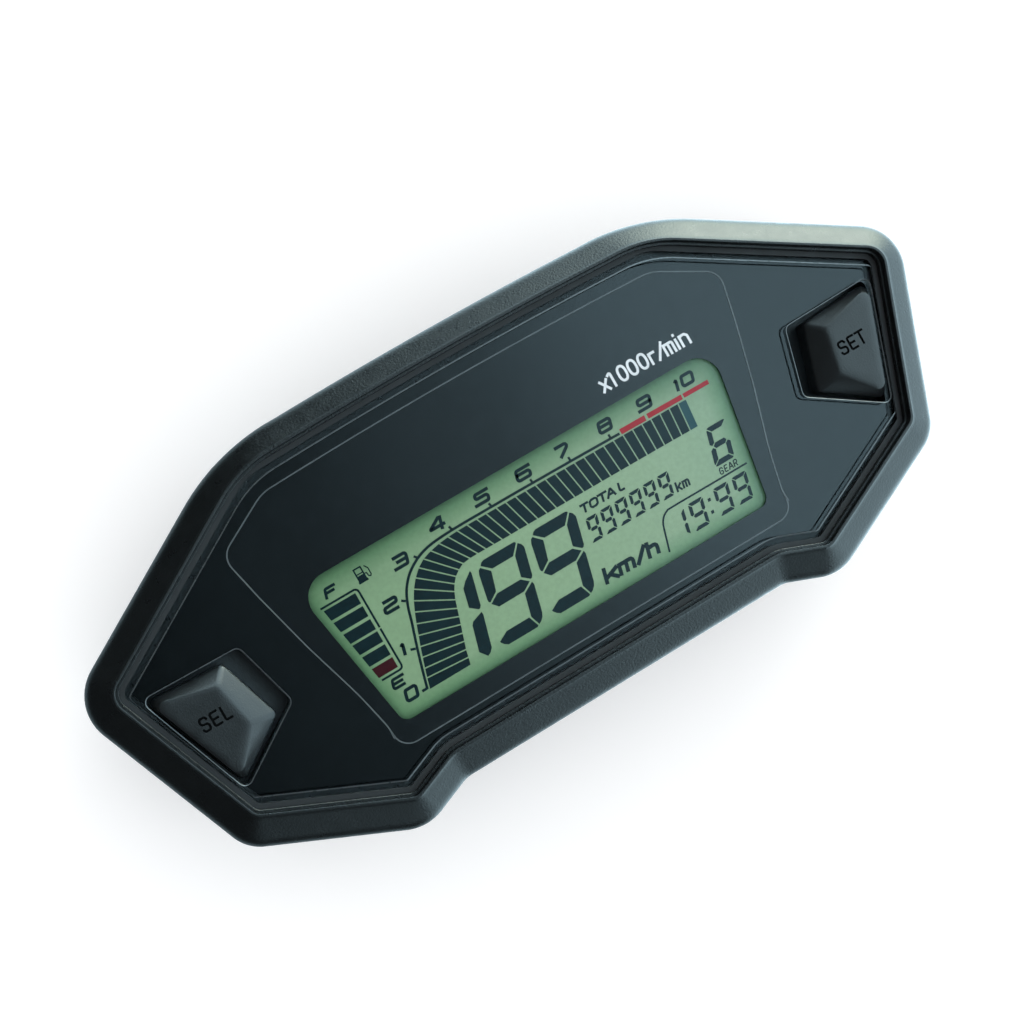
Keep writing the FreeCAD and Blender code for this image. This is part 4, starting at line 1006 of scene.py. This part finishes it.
def draw_tachometer():
    lcd_line([(-31.6, -25.4), (-30.75, -25.4)] + smooth_path(SCALE_CURVE)
             + [(0.0, -4.65), (11.0, -4.76), (19.8, -4.9)], 0.46)
    for tick in TICKS:
        lcd_line([tick[:2], tick[2:]], 0.42)
    for left, right, left_y, right_y in RED_BLOCKS:
        lcd_polygon(red, [(left, -5.24), (right, -5.3), (right + 0.05, right_y), (left, left_y)])
    for numeral in NUMERALS:
        glyph(lcd_line, *numeral, width=0.58, slant=0.27)
    last = len(BAR_DIVISIONS) - 2
    for k, (lower, upper) in enumerate(zip(BAR_DIVISIONS, BAR_DIVISIONS[1:])):
        a_out, a_in, b_out, b_in = [Vector(p) for p in (lower[:2], lower[2:],
                                                        upper[:2], upper[2:])]
        a_gap = 0.0 if k == 0 else BAR_HALF_GAP
        b_gap = 0.0 if k == last else BAR_HALF_GAP
        lcd_polygon(dim if k == last else dark, [
            inset_end(a_out, a_in, b_out, a_gap), inset_end(b_out, b_in, a_out, b_gap),
            inset_end(b_in, b_out, a_in, b_gap), inset_end(a_in, a_out, b_in, a_gap)])


# (upper y, lower y) of the fuel bars, and the slanting line of their left ends
FUEL_BARS = [(-5.55, -7.55), (-8.05, -10.0), (-10.55, -12.5), (-12.9, -14.9), (-15.4, -17.4),
             (-17.9, -19.8)]
FUEL_RIGHT = -33.05
FUEL_LEFT_TOP = (-39.1, -5.55)
FUEL_LEFT_BOTTOM = (-36.75, -19.75)


def fuel_left(y):
    (top_x, top_y), (bottom_x, bottom_y) = FUEL_LEFT_TOP, FUEL_LEFT_BOTTOM
    return top_x + (y - top_y) * (bottom_x - top_x) / (bottom_y - top_y)


def draw_fuel_gauge():
    glyph(lcd_line, "F", -37.8, -35.2, -4.15, -2.25, width=0.5, slant=0.3)
    glyph(lcd_line, "E", -35.75, -32.8, -23.0, -21.0, width=0.5, slant=0.3)
    lcd_line([(-39.4, -5.0), (-33.0, -5.0), (-32.7, -5.1), (-32.45, -5.35), (-32.38, -5.8),
              (-32.38, -12.55)], 0.36)
    lcd_line([(-32.38, -12.8), (-32.38, -19.8), (-32.5, -20.15), (-32.75, -20.33),
              (-33.1, -20.38), (-36.5, -20.38)], 0.36)
    for i, (high, low) in enumerate(FUEL_BARS):
        lcd_polygon(maroon if i == len(FUEL_BARS) - 1 else dark,
                    [(fuel_left(low), low), (FUEL_RIGHT, low), (FUEL_RIGHT, high),
                     (fuel_left(high), high)])


def draw_fuel_pump():
    """Body outline, base plate, filled lower body, window bar and hose."""
    lcd_line([(-31.45, -4.45), (-31.45, -2.15), (-30.15, -2.15), (-30.15, -4.45)], 0.26)
    lcd_polygon(dark, [(-31.7, -4.75), (-29.9, -4.75), (-29.9, -4.35), (-31.7, -4.35)])
    lcd_polygon(dark, [(-31.4, -4.4), (-30.2, -4.4), (-30.2, -3.45), (-31.4, -3.45)])
    lcd_line([(-31.4, -3.15), (-30.2, -3.15)], 0.2)
    lcd_line([(-30.0, -3.5), (-29.7, -3.55), (-29.6, -4.2), (-29.3, -4.35), (-29.1, -4.1),
              (-29.1, -2.95), (-29.55, -2.3)], 0.2)


# Segments of the large speed figures: a right-hand 9, repeated one pitch to its left, and a 1
SPEED_PITCH = 10.38
SPEED_NINE = [
    # top
    [(-2.11, -12.33), (-1.72, -11.88), (-1.2, -11.68), (4.75, -11.68), (5.05, -11.8),
     (5.1, -12.02), (3.56, -13.7), (-0.56, -13.7)],
    # upper left
    [(-2.33, -12.56), (-0.95, -13.93), (-1.05, -14.35), (-1.96, -17.33), (-3.72, -18.46),
     (-3.95, -18.3), (-3.98, -17.9), (-3.07, -13.5), (-2.75, -12.8)],
    # upper right
    [(5.33, -12.16), (5.8, -12.6), (6.0, -13.22), (5.95, -13.6), (4.8, -18.1), (4.5, -18.45),
     (4.22, -18.51), (2.95, -17.44), (3.89, -13.78)],
    # middle
    [(-3.73, -18.78), (-2.0, -17.73), (2.67, -17.73), (3.89, -18.78), (2.22, -19.78),
     (-2.78, -19.82)],
    # lower right
    [(4.18, -19.04), (4.31, -19.56), (3.11, -24.33), (2.75, -25.05), (2.2, -25.6),
     (1.67, -25.84), (1.07, -24.11), (2.11, -20.16)],
    # bottom
    [(-5.67, -25.0), (-3.78, -24.02), (0.71, -24.02), (1.42, -25.95), (1.15, -26.15),
     (-4.6, -26.15), (-5.2, -25.75), (-5.62, -25.2)],
]
SPEED_ONE = [
    [(-14.47, -12.1), (-14.42, -12.6), (-15.8, -18.0), (-16.1, -18.4), (-16.4, -18.48),
     (-17.74, -17.4), (-16.95, -14.15), (-16.0, -13.2)],
    [(-16.24, -19.05), (-16.18, -19.55), (-17.75, -25.1), (-18.3, -25.7), (-18.97, -26.02),
     (-20.0, -24.7), (-18.72, -20.25), (-18.3, -19.75)],
]


def draw_speed():
    for shift in (0.0, -SPEED_PITCH):
        for points in SPEED_NINE:
            lcd_polygon(dark, [(x + shift, y) for x, y in points])
    for points in SPEED_ONE:
        lcd_polygon(dark, points)
    word(lcd_line, [("k", 4.65, 8.15), ("m", 7.55, 11.5), ("/", 11.1, 13.95), ("h", 13.35, 16.4)],
         low=-26.1, high=-23.25, width=0.7, slant=0.26)


def draw_odometer():
    word(lcd_line, [("T", 7.05, 9.1), ("O", 8.85, 10.95), ("T", 10.55, 12.8), ("A", 12.3, 14.45),
                    ("L", 14.7, 16.2)], low=-13.62, high=-12.0, width=0.4, slant=0.25)
    for k in range(6):
        seven_segment("9", x=6.15 + 2.9 * k, y=-18.75, width=2.25, height=4.2, thick=0.57,
                      slant=0.24, gap=0.15)
    word(lcd_line, [("k", 23.55, 25.0), ("m", 24.85, 26.6)],
         low=-18.72, high=-16.95, width=0.36, slant=0.2)


def draw_gear():
    seven_segment("6", x=31.62, y=-18.38, width=3.95, height=6.65, thick=0.93, slant=0.28,
                  gap=0.2)
    word(lcd_line, [("G", 31.75, 32.75), ("E", 32.75, 33.65), ("A", 33.6, 34.75),
                    ("R", 34.65, 35.65)], low=-20.0, high=-18.75, width=0.2, slant=0.2)


def draw_clock():
    """Dividing line, four digits and a colon."""
    lcd_line(smooth_path([(36.9, -20.42), (30.0, -20.4), (21.6, -20.36), (20.3, -20.5),
                          (19.3, -21.1), (18.6, -22.1), (18.1, -23.6), (17.14, -26.8)]), 0.32)
    for digit, x in (("1", 19.05), ("9", 22.95), ("9", 28.15), ("9", 32.0)):
        seven_segment(digit, x, y=-26.15, width=2.95, height=4.8, thick=0.63, slant=0.23,
                      gap=0.16)
    for x, y in ((27.82, -22.58), (27.28, -24.67)):
        lcd_polygon(dark, [(x - 0.32, y - 0.28), (x + 0.22, y - 0.28), (x + 0.32, y + 0.28),
                           (x - 0.22, y + 0.28)])


draw_tachometer()
draw_fuel_gauge()
draw_fuel_pump()
draw_speed()
draw_odometer()
draw_gear()
draw_clock()
for shade, bm in (("dark", dark), ("red", red), ("dim", dim), ("maroon", maroon)):
    link_mesh("lcd_segments_" + shade, bm, "lcd_" + shade)

# ------------------------------------------------------------------ keys
# Foot to face: (share of the way from foot to face, height), with a slightly hollow flank
KEY_FLANK = [(0.0, 33.0), (0.0, 36.3), (0.0, 36.6), (0.02, 36.85), (0.06, 37.06), (0.13, 37.24),
             (0.3, 37.58), (0.5, 37.96), (0.68, 38.3), (0.79, 38.5), (0.87, 38.63),
             (0.94, 38.74), (1.0, 38.82)]
# Soft shoulder: (share of the way from the face's edge to its middle, height)
KEY_SHOULDER = [(0.03, 38.875), (0.07, 38.925), (0.12, 38.96), (0.19, 38.985), (0.28, 38.997),
                (0.36, KEY_TOP)]
# (radius, height), with a waist
SEAL_OUTSIDE = [(5.2, SEAL_BOTTOM), (5.2, 31.72), (4.75, 31.92), (4.75, 32.26), (5.1, 32.46),
                (5.1, 32.98)]
LEGEND_FLOOR = 38.6
# side, key name, legend as (character, left, right) in the artwork frame
KEYS = [(-1, "sel", [("S", -65.95, -64.3), ("E", -63.95, -62.35), ("L", -61.95, -60.5)]),
        (1, "set", [("S", 60.6, 62.25), ("E", 62.55, 64.15), ("T", 64.25, 66.1)])]


def build_key(side, name):
    foot = round_loop([(x * side, y) for x, y in KEY_FOOT], [1.1] * 4)
    face = round_loop([(x * side, y) for x, y in KEY_FACE], [1.3] * 4)
    middle = Vector((65.0 * side, -3.0))
    rings = [(between(foot, face, share), z) for share, z in KEY_FLANK]
    rings += [([p + (middle - p) * share for p in face], z) for share, z in KEY_SHOULDER]
    bm = bmesh.new()
    solid(bm, [rings])
    stem = stem_circle(side, 3.0)
    solid(bm, [[(stem, 28.62), (stem, 33.05)]])
    key = link_mesh(name + "_key", bm, "key_rubber", smooth=30, body=name + "_key")
    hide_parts(name + "_button")
    return key


def build_seal(side, name):
    """Soft ring under the key."""
    bm = bmesh.new()
    solid(bm, [[(stem_circle(side, radius), z) for radius, z in SEAL_OUTSIDE],
               [(stem_circle(side, 3.25), z) for z in (SEAL_BOTTOM, SEAL_OUTSIDE[-1][1])]])
    seal = link_mesh(name + "_seal", bm, "black_rubber", smooth=30)
    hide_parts(name + "_button_seal")
    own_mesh(seal)


def legend_cutter(letters):
    bm = bmesh.new()

    def draw(path, width, closed):
        stroke(bm, [to_key_face(p) for p in path], width, LEGEND_FLOOR, 39.4, closed)

    word(draw, letters, low=-12.85, high=-10.2, width=0.42, slant=0.0)
    bmesh.ops.recalc_face_normals(bm, faces=bm.faces[:])
    mesh = bpy.data.meshes.new("cut")
    bm.to_mesh(mesh)
    bm.free()
    cutter = bpy.data.objects.new("cut", mesh)
    scene.collection.objects.link(cutter)
    return cutter


def sink_legend(key, letters):
    cutter = legend_cutter(letters)
    boolean = key.modifiers.new("legend", "BOOLEAN")
    boolean.operation = "DIFFERENCE"
    boolean.solver = "EXACT"
    boolean.use_self = True
    boolean.object = cutter
    bpy.context.view_layer.update()
    depsgraph = bpy.context.evaluated_depsgraph_get()
    mesh = bpy.data.meshes.new_from_object(key.evaluated_get(depsgraph))
    key.modifiers.clear()
    key.data = mesh
    bpy.data.objects.remove(cutter)
    # only the key's own material is kept, then a darker, duller one is added on the sunk legend:
    # painted shade in its grooves
    while len(mesh.materials) > 1:
        mesh.materials.pop(index=len(mesh.materials) - 1)
    mesh.materials.append(MATERIALS["legend_groove"])
    for face in mesh.polygons:
        z = face.center.z / MM
        on_floor = LEGEND_FLOOR - 0.01 < z < LEGEND_FLOOR + 0.01 and face.normal.z > 0.99
        on_wall = LEGEND_FLOOR + 0.01 < z < KEY_TOP - 0.01 and abs(face.normal.z) < 0.02
        face.material_index = 1 if on_floor or on_wall else 0


for side, name, letters in KEYS:
    key = build_key(side, name)
    build_seal(side, name)
    sink_legend(key, letters)


# ------------------------------------------------------------------ floor
def floor_material():
    """Pale, and visible from above only, so that the back can be looked at from below."""
    material, tree, bsdf = new_material("floor_pale")
    bsdf.inputs["Base Color"].default_value = (0.95, 0.95, 0.95, 1)
    bsdf.inputs["Emission Color"].default_value = (1, 1, 1, 1)
    bsdf.inputs["Emission Strength"].default_value = 0.12
    bsdf.inputs["Roughness"].default_value = 0.9
    bsdf.inputs["Specular IOR Level"].default_value = 0.1
    output = next(n for n in tree.nodes if n.type == "OUTPUT_MATERIAL")
    geometry = tree.nodes.new("ShaderNodeNewGeometry")
    through = tree.nodes.new("ShaderNodeBsdfTransparent")
    mix = tree.nodes.new("ShaderNodeMixShader")
    tree.links.new(geometry.outputs["Backfacing"], mix.inputs[0])
    tree.links.new(bsdf.outputs[0], mix.inputs[1])
    tree.links.new(through.outputs[0], mix.inputs[2])
    tree.links.new(mix.outputs[0], output.inputs["Surface"])
    return material


def build_floor():
    bm = bmesh.new()
    bmesh.ops.create_grid(bm, x_segments=1, y_segments=1, size=2.0)
    mesh = bpy.data.meshes.new("floor")
    bm.to_mesh(mesh)
    bm.free()
    floor = bpy.data.objects.new("floor", mesh)
    scene.collection.objects.link(floor)
    mesh.materials.append(floor_material())
    floor.location = (0, 0, -0.0002)
    floor.visible_glossy = False
    floor.visible_diffuse = False
    floor.visible_transmission = False
    floor.visible_shadow = False


build_floor()


# ------------------------------------------------------------------ world and light
def cool(level):
    """Blue-grey of the given brightness."""
    return (0.70 * level, 0.98 * level, 1.10 * level)


# Brightness from left to right and from below to above: (direction component, colour)
SIDE_STOPS = [(-1.0, cool(0.06)), (-0.4, cool(0.06)), (-0.05, cool(0.09)), (0.08, cool(0.26)),
              (0.17, cool(0.78)), (0.30, cool(2.3)), (0.6, cool(2.9)), (1.0, cool(2.6))]
HEIGHT_STOPS = [(-1.0, cool(0.2)), (-0.93, cool(0.22)), (-0.8, cool(0.6)), (-0.65, cool(0.5)),
                (-0.42, cool(0.0)), (1.0, cool(0.0))]
# Soft round patches; edge and full are the cosines where each begins and is complete
PATCHES = [
    dict(towards=(0.80, 0.60, 0.05), edge=0.84, full=0.98, color=(4.6, 5.2, 3.9)),
    dict(towards=(0.50, 0.75, 0.46), edge=0.90, full=1.0, color=cool(2.6)),
    dict(towards=(-0.22, -0.92, 0.32), edge=0.93, full=1.0, color=cool(0.75)),
    # negative, so this one darkens
    dict(towards=(0.06, 0.98, 0.12), edge=0.93, full=1.0, color=(-0.45, -0.62, -0.7)),
]
LEAST_REFLECTED = cool(0.04)
DIFFUSE_LIGHT = (1.12, 1.14, 1.16, 1)


def build_world():
    """Even light on dull faces; shiny faces see dark on the left and blue-grey on the right."""
    world = bpy.data.worlds.new("studio")
    scene.world = world
    world.use_nodes = True
    tree = world.node_tree
    background = tree.nodes["Background"]
    direction = tree.nodes.new("ShaderNodeTexCoord").outputs["Generated"]
    rays = tree.nodes.new("ShaderNodeLightPath")
    axes = tree.nodes.new("ShaderNodeSeparateXYZ")
    tree.links.new(direction, axes.inputs[0])

    def axis_ramp(axis, stops):
        value = map_range(tree, axes.outputs[axis], source=(-1.0, 1.0))
        return ramp(tree, value, [((v + 1.0) / 2.0, c) for v, c in stops], interpolation="EASE")

    def patch(towards, edge, full, color):
        centre = tuple(Vector(towards).normalized())
        cosine = vector_math(tree, "DOT_PRODUCT", direction, centre)
        share = map_range(tree, cosine, source=(edge, full), interpolation="SMOOTHSTEP")
        glow = vector_math(tree, "SCALE", color)
        tree.links.new(share, glow.node.inputs["Scale"])
        return glow

    reflected = axis_ramp("X", SIDE_STOPS)
    for settings in PATCHES:
        reflected = vector_math(tree, "ADD", reflected, patch(**settings))
    reflected = vector_math(tree, "MAXIMUM", reflected, LEAST_REFLECTED)
    reflected = vector_math(tree, "ADD", reflected, axis_ramp("Z", HEIGHT_STOPS))
    color = mix_color(tree, rays.outputs["Is Glossy Ray"], DIFFUSE_LIGHT, reflected)
    tree.links.new(color, background.inputs["Color"])
    background.inputs["Strength"].default_value = 1.0
    world.cycles.sampling_method = "NONE"


def add_key_light():
    data = bpy.data.lights.new("key", "AREA")
    data.shape = "RECTANGLE"
    data.size = 0.35
    data.size_y = 0.35
    data.energy = 2.5
    data.color = (1.0, 0.99, 0.94)
    light = bpy.data.objects.new("key", data)
    scene.collection.objects.link(light)
    place, target = Vector((0.72, 0.60, 0.27)), Vector((0.02, 0.0, 0.03))
    light.location = place
    light.rotation_euler = (target - place).to_track_quat("-Z", "Y").to_euler()


build_world()
add_key_light()
scene.view_settings.view_transform = "Standard"
scene.view_settings.look = "None"
